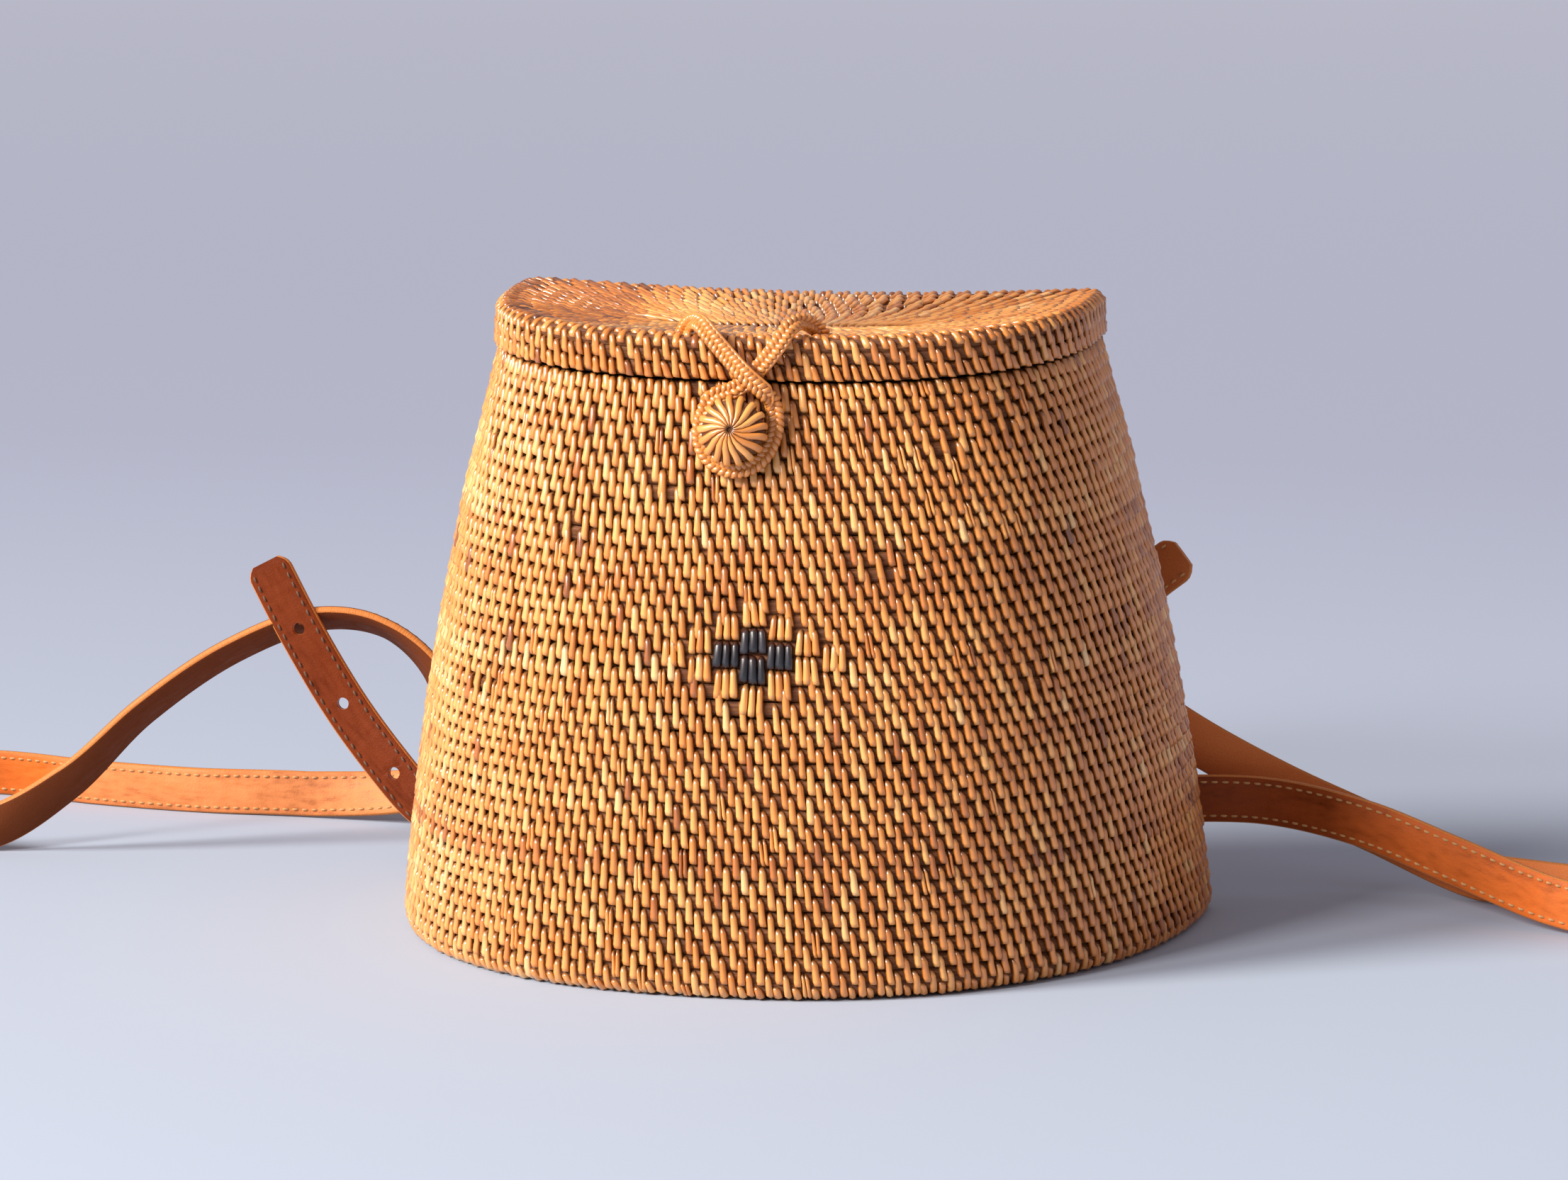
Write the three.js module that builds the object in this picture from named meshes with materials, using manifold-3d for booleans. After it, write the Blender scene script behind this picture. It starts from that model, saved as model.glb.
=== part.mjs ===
// Woven straw backpack: a coiled rattan basket with a flat back, a hinged lid,
// a plaited loop over a button, and two leather shoulder straps.
// Millimetres, +Z up, +Y towards the wearer's back. The origin is the middle of the base.

import * as THREE from 'three';
import { mergeVertices } from 'three/addons/utils/BufferGeometryUtils.js';
import Module from 'manifold-3d';

const wasm = await Module();
wasm.setup();

// Basket
const baseWidth = 250;
const baseDepth = 153;
const topWidth = 180;
const topDepth = 112;
const bodyHeight = 181.5;
const seamDip = 3;
const sideSwell = 4.1;
const backLean = 14.2;
const backCornerRadius = 10;
const baseLeftPower = 2.47;
const baseRightPower = 2.03;
const topFrontPower = 2.95;
const wall = 4;
const floorThickness = 4.5;
const footRadius = 4;

// Lid
const lidHeight = 13.8;
const lidThickness = 3.6;
const lidEdgeRadius = 3.5;
const lidDish = 4;
const lidOverhang = 1.4;

// Hinge rings
const hingeSpread = 96;
const hingeRingRadius = 6;
const hingeTubeRadius = 1.2;

// Button and loop
const buttonAcross = -2.9;
const buttonDrop = 17.6;
const neckRadius = 7.4;
const headRadius = 11;
const headRim = 4;
const headDome = 2.6;
const cordRadius = 2.75;

// Leather
const strapWidth = 15;
const strapThickness = 2.6;
const tipRound = 4.5;
const holeRadius = 2;
const holePitch = 28;
const firstHole = 24;
const holeCount = 4;
const patchWidth = 22;
const patchHeight = 36;
const patchThickness = 2.2;
const patchSpread = 76;
const patchDrop = 31.5;
const tabLength = 20;
const tabThickness = 2.2;

// Buckle hardware
const ringWire = 1.5;
const ringSpan = 9.5;
const buckleLength = 9;
const buckleBar = 2;
const buckleReach = 22;

const clearance = 0.3;
const floorClearance = 0.2;
const buttonHeight = bodyHeight - buttonDrop;
const patchLevel = bodyHeight - patchDrop;

const straw = { color: 0xd08c46, roughness: 0.62, metalness: 0 };
const strawDark = { color: 0xb9763a, roughness: 0.66, metalness: 0 };
const leather = { color: 0xb0602c, roughness: 0.55, metalness: 0 };
const brass = { color: 0xb08a4a, roughness: 0.35, metalness: 1 };

const vec = (x, y, z) => new THREE.Vector3(x, y, z);
const mix = (a, b, k) => a + (b - a) * k;

// Solids

function toSolid(geometry) {
  const bare = geometry.index ? geometry.toNonIndexed() : geometry.clone();
  for (const name of Object.keys(bare.attributes)) {
    if (name !== 'position') bare.deleteAttribute(name);
  }
  const merged = mergeVertices(bare, 1e-4);
  return new wasm.Manifold(
    new wasm.Mesh({
      numProp: 3,
      vertProperties: new Float32Array(merged.attributes.position.array),
      triVerts: new Uint32Array(merged.index.array),
    }),
  );
}

function toGeometry(solid) {
  const mesh = solid.getMesh();
  const geometry = new THREE.BufferGeometry();
  const points = new Float32Array(mesh.vertProperties);
  geometry.setAttribute('position', new THREE.BufferAttribute(points, 3));
  geometry.setIndex(new THREE.BufferAttribute(new Uint32Array(mesh.triVerts), 1));
  geometry.computeVertexNormals();
  return geometry;
}

function named(name, geometry, finish) {
  const mesh = new THREE.Mesh(geometry, new THREE.MeshStandardMaterial(finish));
  mesh.name = name;
  return mesh;
}

// Closed skin over a stack of rings that all run the same way round.
function loft(rings) {
  const count = rings[0].length;
  const points = rings.flat();
  const index = [];
  for (let level = 0; level + 1 < rings.length; level += 1) {
    for (let i = 0; i < count; i += 1) {
      const a = level * count + i;
      const b = level * count + ((i + 1) % count);
      index.push(a, b, b + count, a, b + count, a + count);
    }
  }
  const middle = (ring) => ring.reduce((sum, p) => sum.add(p), vec(0, 0, 0)).divideScalar(count);
  const low = points.push(middle(rings[0])) - 1;
  const high = points.push(middle(rings[rings.length - 1])) - 1;
  const last = (rings.length - 1) * count;
  for (let i = 0; i < count; i += 1) {
    const next = (i + 1) % count;
    index.push(low, next, i, high, last + i, last + next);
  }
  const geometry = new THREE.BufferGeometry().setFromPoints(points);
  geometry.setIndex(index);
  return geometry;
}

// Basket outline

function levelSize(k) {
  const swell = 4 * sideSwell * k * (1 - k);
  return {
    half: mix(baseWidth, topWidth, k) / 2 + swell,
    depth: mix(baseDepth, topDepth, k) + swell,
    leftPower: mix(baseLeftPower, topFrontPower, k),
    rightPower: mix(baseRightPower, topFrontPower, k),
    back: baseDepth / 2 - backLean * k,
  };
}

// D-shaped outline, counter-clockwise from the middle of the back, with equal steps on the bow.
function outline(size, inset) {
  const half = size.half - inset;
  const back = size.back - inset;
  const corner = Math.max(backCornerRadius - inset, 2);
  const bow = size.depth - 2 * inset - corner;
  const backSteps = 4;
  const cornerSteps = 4;
  const bowSteps = 38;
  const dense = [];
  for (let i = 0; i <= 400; i += 1) {
    const t = (Math.PI * i) / 400;
    const c = Math.cos(t);
    const s = Math.sin(t);
    const share = 2 / (c > 0 ? size.leftPower : size.rightPower);
    dense.push([
      -half * Math.sign(c) * Math.abs(c) ** share,
      back - corner - bow * Math.abs(s) ** share,
    ]);
  }
  const reach = [0];
  for (let i = 1; i < dense.length; i += 1) {
    const step = Math.hypot(dense[i][0] - dense[i - 1][0], dense[i][1] - dense[i - 1][1]);
    reach.push(reach[i - 1] + step);
  }
  const points = [];
  for (let i = 0; i < backSteps; i += 1) {
    points.push([(-(half - corner) * i) / backSteps, back]);
  }
  for (let i = 0; i < cornerSteps; i += 1) {
    const t = (Math.PI / 2) * (i / cornerSteps);
    points.push([-(half - corner) - corner * Math.sin(t), back - corner + corner * Math.cos(t)]);
  }
  let at = 0;
  for (let i = 0; i <= bowSteps; i += 1) {
    const want = (reach[400] * i) / bowSteps;
    while (at < 399 && reach[at + 1] < want) at += 1;
    const k = (want - reach[at]) / (reach[at + 1] - reach[at]);
    points.push([mix(dense[at][0], dense[at + 1][0], k), mix(dense[at][1], dense[at + 1][1], k)]);
  }
  for (let i = 1; i <= cornerSteps; i += 1) {
    const t = (Math.PI / 2) * (i / cornerSteps);
    points.push([half - corner + corner * Math.cos(t), back - corner + corner * Math.sin(t)]);
  }
  for (let i = 1; i < backSteps; i += 1) {
    points.push([((half - corner) * (backSteps - i)) / backSteps, back]);
  }
  return points;
}

const seamSize = levelSize(1);

// The seam between basket and lid is a shallow saddle, lowest at the middle.
function seamHeight(x) {
  return bodyHeight - seamDip * Math.max(0, 1 - (x / seamSize.half) ** 2);
}

function bodyRing(k, inset, lift = 0) {
  return outline(levelSize(k), inset).map(([x, y]) => {
    const across = (x / levelSize(k).half) * seamSize.half;
    return vec(x, y, k * seamHeight(across) + lift);
  });
}

function backWall(z) {
  return baseDepth / 2 - backLean * (z / bodyHeight);
}

function frontWall(x, z) {
  const size = levelSize(Math.min(z / bodyHeight, 1));
  const bow = size.depth - backCornerRadius;
  const power = x < 0 ? size.leftPower : size.rightPower;
  const share = Math.max(0, 1 - Math.abs(x / size.half) ** power) ** (1 / power);
  return size.back - backCornerRadius - bow * share;
}

// Basket and lid

function hingeTorus(side, tube) {
  const torus = new THREE.TorusGeometry(hingeRingRadius, tube, 8, 20);
  torus.rotateY(Math.PI / 2);
  torus.translate((side * hingeSpread) / 2, backWall(bodyHeight), bodyHeight - seamDip);
  return torus;
}

const hingePins = [-1, 1].map((side) => toSolid(hingeTorus(side, hingeTubeRadius + clearance)));

function basketSolid() {
  const outer = [];
  for (let i = 0; i < 3; i += 1) {
    const t = (Math.PI / 2) * (i / 3);
    const inset = footRadius * (1 - Math.sin(t));
    outer.push(bodyRing(0, inset, footRadius * (1 - Math.cos(t))));
  }
  const inner = [bodyRing(0, wall + footRadius / 2, floorThickness)];
  inner.push(bodyRing(0, wall, floorThickness + footRadius / 2));
  const levels = 9;
  for (let i = 1; i <= levels; i += 1) {
    const k = i / levels;
    outer.push(bodyRing(k, 0));
    inner.push(bodyRing(k, wall));
  }
  inner.push(bodyRing(1, wall, wall));
  let solid = toSolid(loft(outer)).subtract(toSolid(loft(inner)));
  for (const pin of hingePins) solid = solid.subtract(pin);
  return solid;
}

// The lid stands proud of the basket at the sides and front, and flush at the back.
const lidSize = { ...seamSize, half: seamSize.half + lidOverhang, depth: seamSize.depth + lidOverhang };

function lidRing(size, inset, scale, height) {
  const middle = size.back - size.depth / 2;
  return outline(size, inset).map(([x, y]) => {
    const px = x * scale;
    return vec(px, middle + (y - middle) * scale, seamHeight(px) + height);
  });
}

function lidSolid() {
  const outer = [lidRing(lidSize, 0, 1, clearance)];
  outer.push(lidRing(lidSize, 0, 1, lidHeight - lidEdgeRadius));
  for (let i = 1; i <= 3; i += 1) {
    const t = (Math.PI / 2) * (i / 3);
    const inset = lidEdgeRadius * (1 - Math.cos(t));
    outer.push(lidRing(lidSize, inset, 1, lidHeight - lidEdgeRadius * (1 - Math.sin(t))));
  }
  const hollow = lidHeight - lidThickness - 1.5;
  const inner = [lidRing(seamSize, wall, 1, -wall), lidRing(seamSize, wall, 1, hollow)];
  for (const scale of [0.88, 0.68, 0.44, 0.18]) {
    const top = lidHeight - lidDish * (1 - scale ** 2);
    outer.push(lidRing(lidSize, lidEdgeRadius, scale, top));
    inner.push(lidRing(seamSize, wall + 0.5, scale, top - lidThickness));
  }
  let solid = toSolid(loft(outer)).subtract(toSolid(loft(inner)));
  for (const pin of hingePins) solid = solid.subtract(pin);
  return solid;
}

// Button: a neck on the front wall and a domed head that holds the loop.
const neckHeight = 2 * (clearance + cordRadius) + clearance;

function buttonGeometry() {
  const profile = [
    [0, clearance],
    [neckRadius, clearance],
    [neckRadius, neckHeight],
    [headRadius - 0.8, neckHeight],
    [headRadius, neckHeight + 0.8],
    [headRadius, neckHeight + headRim - 0.8],
    [headRadius - 1, neckHeight + headRim],
    [headRadius * 0.72, neckHeight + headRim + headDome * 0.6],
    [headRadius * 0.35, neckHeight + headRim + headDome * 0.94],
    [0, neckHeight + headRim + headDome],
  ];
  return new THREE.LatheGeometry(profile.map(([r, h]) => new THREE.Vector2(r, h)), 24);
}

const normalStep = 4;

function wallNormal(x, z) {
  const dx = (frontWall(x + normalStep, z) - frontWall(x - normalStep, z)) / (2 * normalStep);
  const dz = (frontWall(x, z + normalStep) - frontWall(x, z - normalStep)) / (2 * normalStep);
  return vec(dx, -1, dz).normalize();
}

// Closure loop: across and up run from the button's middle, out from the front face,
// and all three are shares of the button's head radius.
const ringRound = headRadius - 0.35;
const ringSeat = clearance + cordRadius;
const loopRows = [
  { across: -1.909, up: 2.045, out: -1.091 },
  { across: -1.818, up: 2.509, out: -0.955 },
  { across: -1.509, up: 2.873, out: -0.545 },
  { across: -1.091, up: 2.836, out: 0.091 },
  { across: -0.764, up: 2.509, out: 0.418 },
  { across: -0.273, up: 1.964, out: 0.618 },
  { across: 0.309, up: 1.382, out: 0.827 },
  { across: 0.782, up: 1, out: 0.691 },
];
const loopTurn = [
  { angle: 38, wide: 1.29, rise: 0.15 },
  { angle: 14, wide: 1.13, rise: 0.032 },
  { angle: -12, wide: 1.03, rise: 0 },
  { angle: -40, wide: 1, rise: 0 },
  { angle: -68, wide: 1, rise: 0 },
  { angle: -96, wide: 1, rise: 0 },
  { angle: -124, wide: 1, rise: 0 },
  { angle: -152, wide: 1, rise: 0 },
  { angle: -180, wide: 1, rise: 0 },
  { angle: -208, wide: 1.02, rise: 0 },
  { angle: -232, wide: 1.15, rise: 0 },
];
const loopEnd = [
  { across: -0.055, up: 1.145, out: 0.277 },
  { across: 0.327, up: 1.455, out: 0.309 },
  { across: 0.727, up: 1.855, out: 0.418 },
  { across: 1.073, up: 2.309, out: 0.436 },
  { across: 1.327, up: 2.764, out: 0.236 },
  { across: 1.6, up: 3, out: -0.255 },
  { across: 2, up: 2.855, out: -0.727 },
  { across: 2.218, up: 2.455, out: -0.955 },
  { across: 2.255, up: 2, out: -1.091 },
];

function loopPoint(across, up, out) {
  const x = buttonAcross + across;
  const z = buttonHeight + up;
  const normal = wallNormal(x, Math.min(z, bodyHeight - normalStep));
  return vec(x, frontWall(x, z), z).addScaledVector(normal, out);
}

function loopCurve() {
  const free = (row) => loopPoint(row.across * headRadius, row.up * headRadius, row.out * headRadius);
  const points = loopRows.map(free);
  for (const row of loopTurn) {
    const t = THREE.MathUtils.degToRad(row.angle);
    const r = ringRound * row.wide;
    points.push(loopPoint(r * Math.cos(t), r * Math.sin(t), ringSeat + row.rise * headRadius));
  }
  points.push(...loopEnd.map(free));
  return new THREE.CatmullRomCurve3(points, false, 'centripetal');
}

function loopGeometry(radius) {
  const circle = new THREE.Shape();
  for (let i = 0; i < 8; i += 1) {
    const t = (Math.PI * 2 * i) / 8;
    circle[i ? 'lineTo' : 'moveTo'](radius * Math.cos(t), radius * Math.sin(t));
  }
  circle.closePath();
  return new THREE.ExtrudeGeometry(circle, { steps: 54, extrudePath: loopCurve(), bevelEnabled: false });
}

// Leather fittings on the back wall: u runs outward along the strap, v across it, w off the wall.
const lean = Math.atan(backLean / bodyHeight);
const wallUp = vec(0, -Math.sin(lean), Math.cos(lean));
const wallOut = vec(0, Math.cos(lean), Math.sin(lean));

function wallFrame(x, z, side, tilt) {
  const t = THREE.MathUtils.degToRad(tilt);
  const u = vec(side * Math.cos(t), 0, 0).addScaledVector(wallUp, Math.sin(t));
  const v = vec(-side * Math.sin(t), 0, 0).addScaledVector(wallUp, Math.cos(t));
  return { origin: vec(x, backWall(z), z), u, v };
}

function onWall(frame, u, v, w) {
  return frame.origin.clone().addScaledVector(frame.u, u).addScaledVector(frame.v, v).addScaledVector(wallOut, w);
}

function roundedPlate(width, height, thickness, radius) {
  const shape = new THREE.Shape();
  const x = width / 2;
  const y = height / 2;
  shape.moveTo(-x + radius, -y);
  shape.lineTo(x - radius, -y);
  shape.absarc(x - radius, -y + radius, radius, -Math.PI / 2, 0, false);
  shape.lineTo(x, y - radius);
  shape.absarc(x - radius, y - radius, radius, 0, Math.PI / 2, false);
  shape.lineTo(-x + radius, y);
  shape.absarc(-x + radius, y - radius, radius, Math.PI / 2, Math.PI, false);
  shape.lineTo(-x, -y + radius);
  shape.absarc(-x + radius, -y + radius, radius, Math.PI, Math.PI * 1.5, false);
  return new THREE.ExtrudeGeometry(shape, { depth: thickness, bevelEnabled: false, curveSegments: 4 });
}

// Puts a geometry made with x along u, y along v and z along w on the wall.
function seatOnWall(geometry, frame, u, v, w) {
  const matrix = new THREE.Matrix4().makeBasis(frame.u, frame.v, frame.u.clone().cross(frame.v));
  matrix.setPosition(onWall(frame, u, v, w));
  geometry.applyMatrix4(matrix);
  return geometry;
}

function rod(from, to, radius) {
  const along = to.clone().sub(from);
  const cylinder = new THREE.CylinderGeometry(radius, radius, along.length(), 8);
  const turn = new THREE.Quaternion().setFromUnitVectors(vec(0, 1, 0), along.clone().normalize());
  cylinder.applyQuaternion(turn);
  cylinder.translate(...from.clone().add(to).multiplyScalar(0.5).toArray());
  return toSolid(cylinder);
}

const sleeveRadius = ringWire + clearance + tabThickness;
const turnRadius = ringWire + clearance + strapThickness / 2 + 0.1;
const ringOff = clearance + turnRadius + strapThickness / 2 + 0.4;
const layerOff = strapThickness / 2 + clearance / 2;
const halfRing = strapWidth / 2 + clearance + ringWire + 0.4;

function tabSolid(frame) {
  const inward = frame.u.clone().cross(frame.v).dot(wallOut) > 0 ? 0 : -tabThickness;
  const plate = roundedPlate(tabLength, strapWidth, tabThickness, 2);
  plate.translate(0, 0, inward);
  seatOnWall(plate, frame, -tabLength / 2, 0, clearance);
  const half = strapWidth / 2;
  const sleeve = rod(onWall(frame, 0, -half, ringOff), onWall(frame, 0, half, ringOff), sleeveRadius);
  const bore = rod(
    onWall(frame, 0, -half - 1, ringOff),
    onWall(frame, 0, half + 1, ringOff),
    ringWire + clearance,
  );
  return toSolid(plate).add(sleeve).subtract(bore);
}

function ringSolid(frame) {
  const corners = [
    onWall(frame, 0, -halfRing, ringOff),
    onWall(frame, ringSpan, -halfRing, ringOff),
    onWall(frame, ringSpan, halfRing, ringOff),
    onWall(frame, 0, halfRing, ringOff),
  ];
  let solid = null;
  corners.forEach((corner, i) => {
    const side = rod(corner, corners[(i + 1) % 4], ringWire);
    const ball = new THREE.SphereGeometry(ringWire, 8, 4);
    ball.translate(...corner.toArray());
    const piece = side.add(toSolid(ball));
    solid = solid ? solid.add(piece) : piece;
  });
  return solid;
}

function buckleSolid(frame) {
  const width = strapWidth + 2 * (clearance + buckleBar);
  const gap = 2 * (layerOff + strapThickness / 2 + clearance);
  const block = (length, across, high) => {
    const box = new THREE.BoxGeometry(length, across, high);
    return toSolid(seatOnWall(box, frame, buckleReach, 0, ringOff));
  };
  const window = block(buckleLength + 2, width - 2 * buckleBar, gap);
  return block(buckleLength, width, gap + 2 * buckleBar).subtract(window);
}

// Straps: side, behind and up are shares of the base's half width and depth and of the body height.
// wide points across the leather. A row that lies on the floor is lifted to stand on it.
const lowerFittings = {
  left: { side: -1, out: 0.752, up: 0.08, tilt: 5 },
  right: { side: 1, out: 0.576, up: 0.117, tilt: 17 },
};

const strapRoutes = {
  left: [
    { side: -0.31, behind: 1.04, up: 0.66, wide: [-1, 0, 0.1] },
    { side: -0.36, behind: 1.16, up: 0.49, wide: [-0.9, 0.1, 0.35] },
    { side: -0.48, behind: 1.36, up: 0.31, wide: [-0.7, 0.35, 0.6] },
    { side: -0.7, behind: 1.58, up: 0.18, wide: [-0.3, 0.5, 0.8] },
    { side: -0.96, behind: 1.78, up: 0.11, wide: [0, 0.55, 0.8] },
    { side: -1.22, behind: 1.92, up: 0.06, wide: [0, 0.5, 0.86] },
    { side: -1.5, behind: 1.98, up: 0, wide: [0, 0.2, 1] },
    { side: -1.8, behind: 1.98, up: 0, wide: [0, 0, 1] },
    { side: -2.1, behind: 2.06, up: 0, wide: [0, 0, 1] },
    { side: -2.4, behind: 2.2, up: 0, wide: [0, 0, 1] },
    { side: -2.66, behind: 2.16, up: 0, wide: [0, 0, 1] },
    { side: -2.8, behind: 1.86, up: 0, wide: [0, 0, 1] },
    { side: -2.74, behind: 1.46, up: 0, wide: [0, 0, 1] },
    { side: -2.5, behind: 1.14, up: 0, wide: [0, -0.1, 1] },
    { side: -2.22, behind: 1.04, up: 0.02, wide: [0, -0.3, 0.94] },
    { side: -2, behind: 1.08, up: 0.13, wide: [0.1, -0.5, 0.8] },
    { side: -1.8, behind: 1.14, up: 0.26, wide: [0.2, -0.62, 0.66] },
    { side: -1.57, behind: 1.2, up: 0.37, wide: [0.1, -0.74, 0.56] },
    { side: -1.34, behind: 1.24, up: 0.43, wide: [0, -0.82, 0.52] },
    { side: -1.17, behind: 1.25, up: 0.415, wide: [0.1, -0.84, 0.5] },
    { side: -1.04, behind: 1.24, up: 0.34, wide: [0.4, -0.72, 0.5] },
    { side: -0.98, behind: 1.2, up: 0.22, wide: [0.6, -0.4, 0.6] },
  ],
  right: [
    { side: 0.33, behind: 1.04, up: 0.67, wide: [1, 0, 0.15] },
    { side: 0.46, behind: 1.14, up: 0.53, wide: [0.85, 0.05, 0.5] },
    { side: 0.66, behind: 1.26, up: 0.39, wide: [0.65, 0.1, 0.7] },
    { side: 0.88, behind: 1.33, up: 0.275, wide: [0.5, 0.1, 0.8] },
    { side: 1.12, behind: 1.35, up: 0.185, wide: [0.4, 0.1, 0.9] },
    { side: 1.38, behind: 1.33, up: 0.11, wide: [0.25, 0.1, 0.95] },
    { side: 1.66, behind: 1.2, up: 0.04, wide: [0.1, 0.05, 1] },
    { side: 1.94, behind: 1.04, up: 0, wide: [0, 0, 1] },
    { side: 2.26, behind: 0.98, up: 0, wide: [0, 0, 1] },
    { side: 2.54, behind: 0.92, up: 0, wide: [0, 0, 1] },
    { side: 2.72, behind: 0.72, up: 0, wide: [0, 0, 1] },
    { side: 2.62, behind: 0.48, up: 0, wide: [0, 0, 1] },
    { side: 2.34, behind: 0.43, up: 0, wide: [0, 0, 1] },
    { side: 2.06, behind: 0.54, up: 0.01, wide: [0, 0.05, 1] },
    { side: 1.84, behind: 0.7, up: 0.055, wide: [0, 0.1, 1] },
    { side: 1.6, behind: 0.88, up: 0.1, wide: [0, 0.1, 1] },
    { side: 1.36, behind: 1.05, up: 0.145, wide: [0, 0.05, 1] },
    { side: 1.1, behind: 1.17, up: 0.168, wide: [0, 0, 1] },
  ],
};

const tailRoutes = {
  left: [
    { side: -1.06, behind: 1.08, up: 0.12, wide: [0.45, 0, 0.9] },
    { side: -1.15, behind: 1.11, up: 0.185, wide: [0.68, 0, 0.73] },
    { side: -1.26, behind: 1.14, up: 0.28, wide: [0.8, 0, 0.6] },
    { side: -1.376, behind: 1.15, up: 0.41, wide: [0.83, 0, 0.56] },
    { side: -1.472, behind: 1.16, up: 0.535, wide: [0.83, 0, 0.56] },
  ],
  right: [
    { side: 0.84, behind: 1.09, up: 0.26, wide: [-0.75, 0, 0.6] },
    { side: 0.84, behind: 1.12, up: 0.36, wide: [-0.98, 0, 0.1] },
    { side: 0.78, behind: 1.14, up: 0.46, wide: [-1, 0.1, -0.05] },
    { side: 0.79, behind: 1.14, up: 0.53, wide: [-0.9, 0.2, 0.4] },
    { side: 0.9, behind: 1.12, up: 0.6, wide: [-0.6, 0.3, 0.75] },
  ],
};

function fittingFrame(place) {
  return wallFrame((place.side * place.out * baseWidth) / 2, place.up * bodyHeight, place.side, place.tilt);
}

function routeRow(row) {
  const wide = vec(...row.wide).normalize();
  const rest = restHeight(wide);
  const z = Math.max(row.up * bodyHeight, rest);
  return { at: vec((row.side * baseWidth) / 2, (row.behind * baseDepth) / 2, z), wide };
}

function restHeight(wide) {
  const flat = Math.hypot(wide.x, wide.y);
  return (strapWidth / 2) * Math.abs(wide.z) + (strapThickness / 2) * flat + floorClearance;
}

function strapRows(name) {
  const place = lowerFittings[name];
  const frame = fittingFrame(place);
  const seatOff = 2 * clearance + patchThickness + strapThickness / 2;
  const top = wallFrame((place.side * patchSpread) / 2, patchLevel, place.side, 0);
  const across = vec(place.side, 0, 0);
  const rows = [14, 2, -11].map((v) => ({ at: onWall(top, 0, v, seatOff), wide: across }));
  for (const row of strapRoutes[name]) rows.push(routeRow(row));
  const layer = (u, w) => rows.push({ at: onWall(frame, u, 0, ringOff + w), wide: frame.v });
  const inBuckle = [buckleLength / 2 + 4, buckleLength / 2, 0, -buckleLength / 2];
  for (const u of inBuckle) layer(buckleReach + u, layerOff);
  for (let i = 0; i <= 6; i += 1) {
    const t = Math.PI * (i / 6);
    layer(ringSpan - turnRadius * Math.sin(t), turnRadius * Math.cos(t));
  }
  for (const u of inBuckle.reverse()) layer(buckleReach + u, -layerOff);
  for (const row of tailRoutes[name]) rows.push(routeRow(row));
  return rows;
}

function strapStations(name) {
  const rows = strapRows(name);
  const curve = new THREE.CatmullRomCurve3(rows.map((row) => row.at), false, 'centripetal');
  const stations = [];
  const stationStep = 9;
  for (let i = 0; i + 1 < rows.length; i += 1) {
    const span = rows[i].at.distanceTo(rows[i + 1].at);
    const steps = Math.max(1, Math.round(span / stationStep));
    const parts = Array.from({ length: steps }, (_, j) => j / steps);
    if (i + 2 === rows.length) parts.push(1 - tipRound / span, 1 - tipRound / span / 3, 1);
    for (const part of parts) {
      const t = (i + part) / (rows.length - 1);
      const at = curve.getPoint(t);
      const along = curve.getTangent(t);
      const wide = rows[i].wide.clone().lerp(rows[i + 1].wide, part);
      wide.addScaledVector(along, -wide.dot(along)).normalize();
      at.z = Math.max(at.z, restHeight(wide));
      stations.push({ at, along, wide, thick: along.clone().cross(wide).normalize() });
    }
  }
  return stations;
}

function strapSolid(name) {
  const stations = strapStations(name);
  const end = stations[stations.length - 1].at;
  const x = strapWidth / 2;
  const y = strapThickness / 2;
  const section = [[-x, -y], [x, -y], [x, y], [-x, y]];
  const rings = stations.map((station) => {
    const left = end.distanceTo(station.at);
    const slim = left < tipRound ? 1 - 0.4 * (1 - left / tipRound) ** 2 : 1;
    return section.map(([a, b]) =>
      station.at.clone().addScaledVector(station.wide, a * slim).addScaledVector(station.thick, b));
  });
  let solid = toSolid(loft(rings));
  for (let i = 0; i < holeCount; i += 1) {
    const want = firstHole + i * holePitch;
    const station = stationFromTip(stations, want);
    const from = station.at.clone().addScaledVector(station.thick, -strapThickness);
    const to = station.at.clone().addScaledVector(station.thick, strapThickness);
    solid = solid.subtract(rod(from, to, holeRadius));
  }
  return solid;
}

function stationFromTip(stations, want) {
  let reach = 0;
  for (let i = stations.length - 1; i > 0; i -= 1) {
    const step = stations[i].at.distanceTo(stations[i - 1].at);
    if (reach + step >= want) {
      const k = (want - reach) / step;
      return { at: stations[i].at.clone().lerp(stations[i - 1].at, k), thick: stations[i].thick };
    }
    reach += step;
  }
  return stations[0];
}

// Assembly

const bag = new THREE.Group();

bag.add(named('basket', toGeometry(basketSolid()), straw));

const loopClear = toSolid(loopGeometry(cordRadius + clearance));
bag.add(named('lid', toGeometry(lidSolid().subtract(loopClear)), straw));

[-1, 1].forEach((side) => {
  const name = side < 0 ? 'hinge_ring_left' : 'hinge_ring_right';
  bag.add(named(name, toGeometry(toSolid(hingeTorus(side, hingeTubeRadius))), strawDark));
});

const button = named('button', toGeometry(toSolid(buttonGeometry())), strawDark);
const buttonNormal = wallNormal(buttonAcross, buttonHeight);
button.quaternion.setFromUnitVectors(vec(0, 1, 0), buttonNormal);
button.position.set(buttonAcross, frontWall(buttonAcross, buttonHeight), buttonHeight);
bag.add(button);

bag.add(named('closure_loop', toGeometry(toSolid(loopGeometry(cordRadius))), strawDark));

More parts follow.
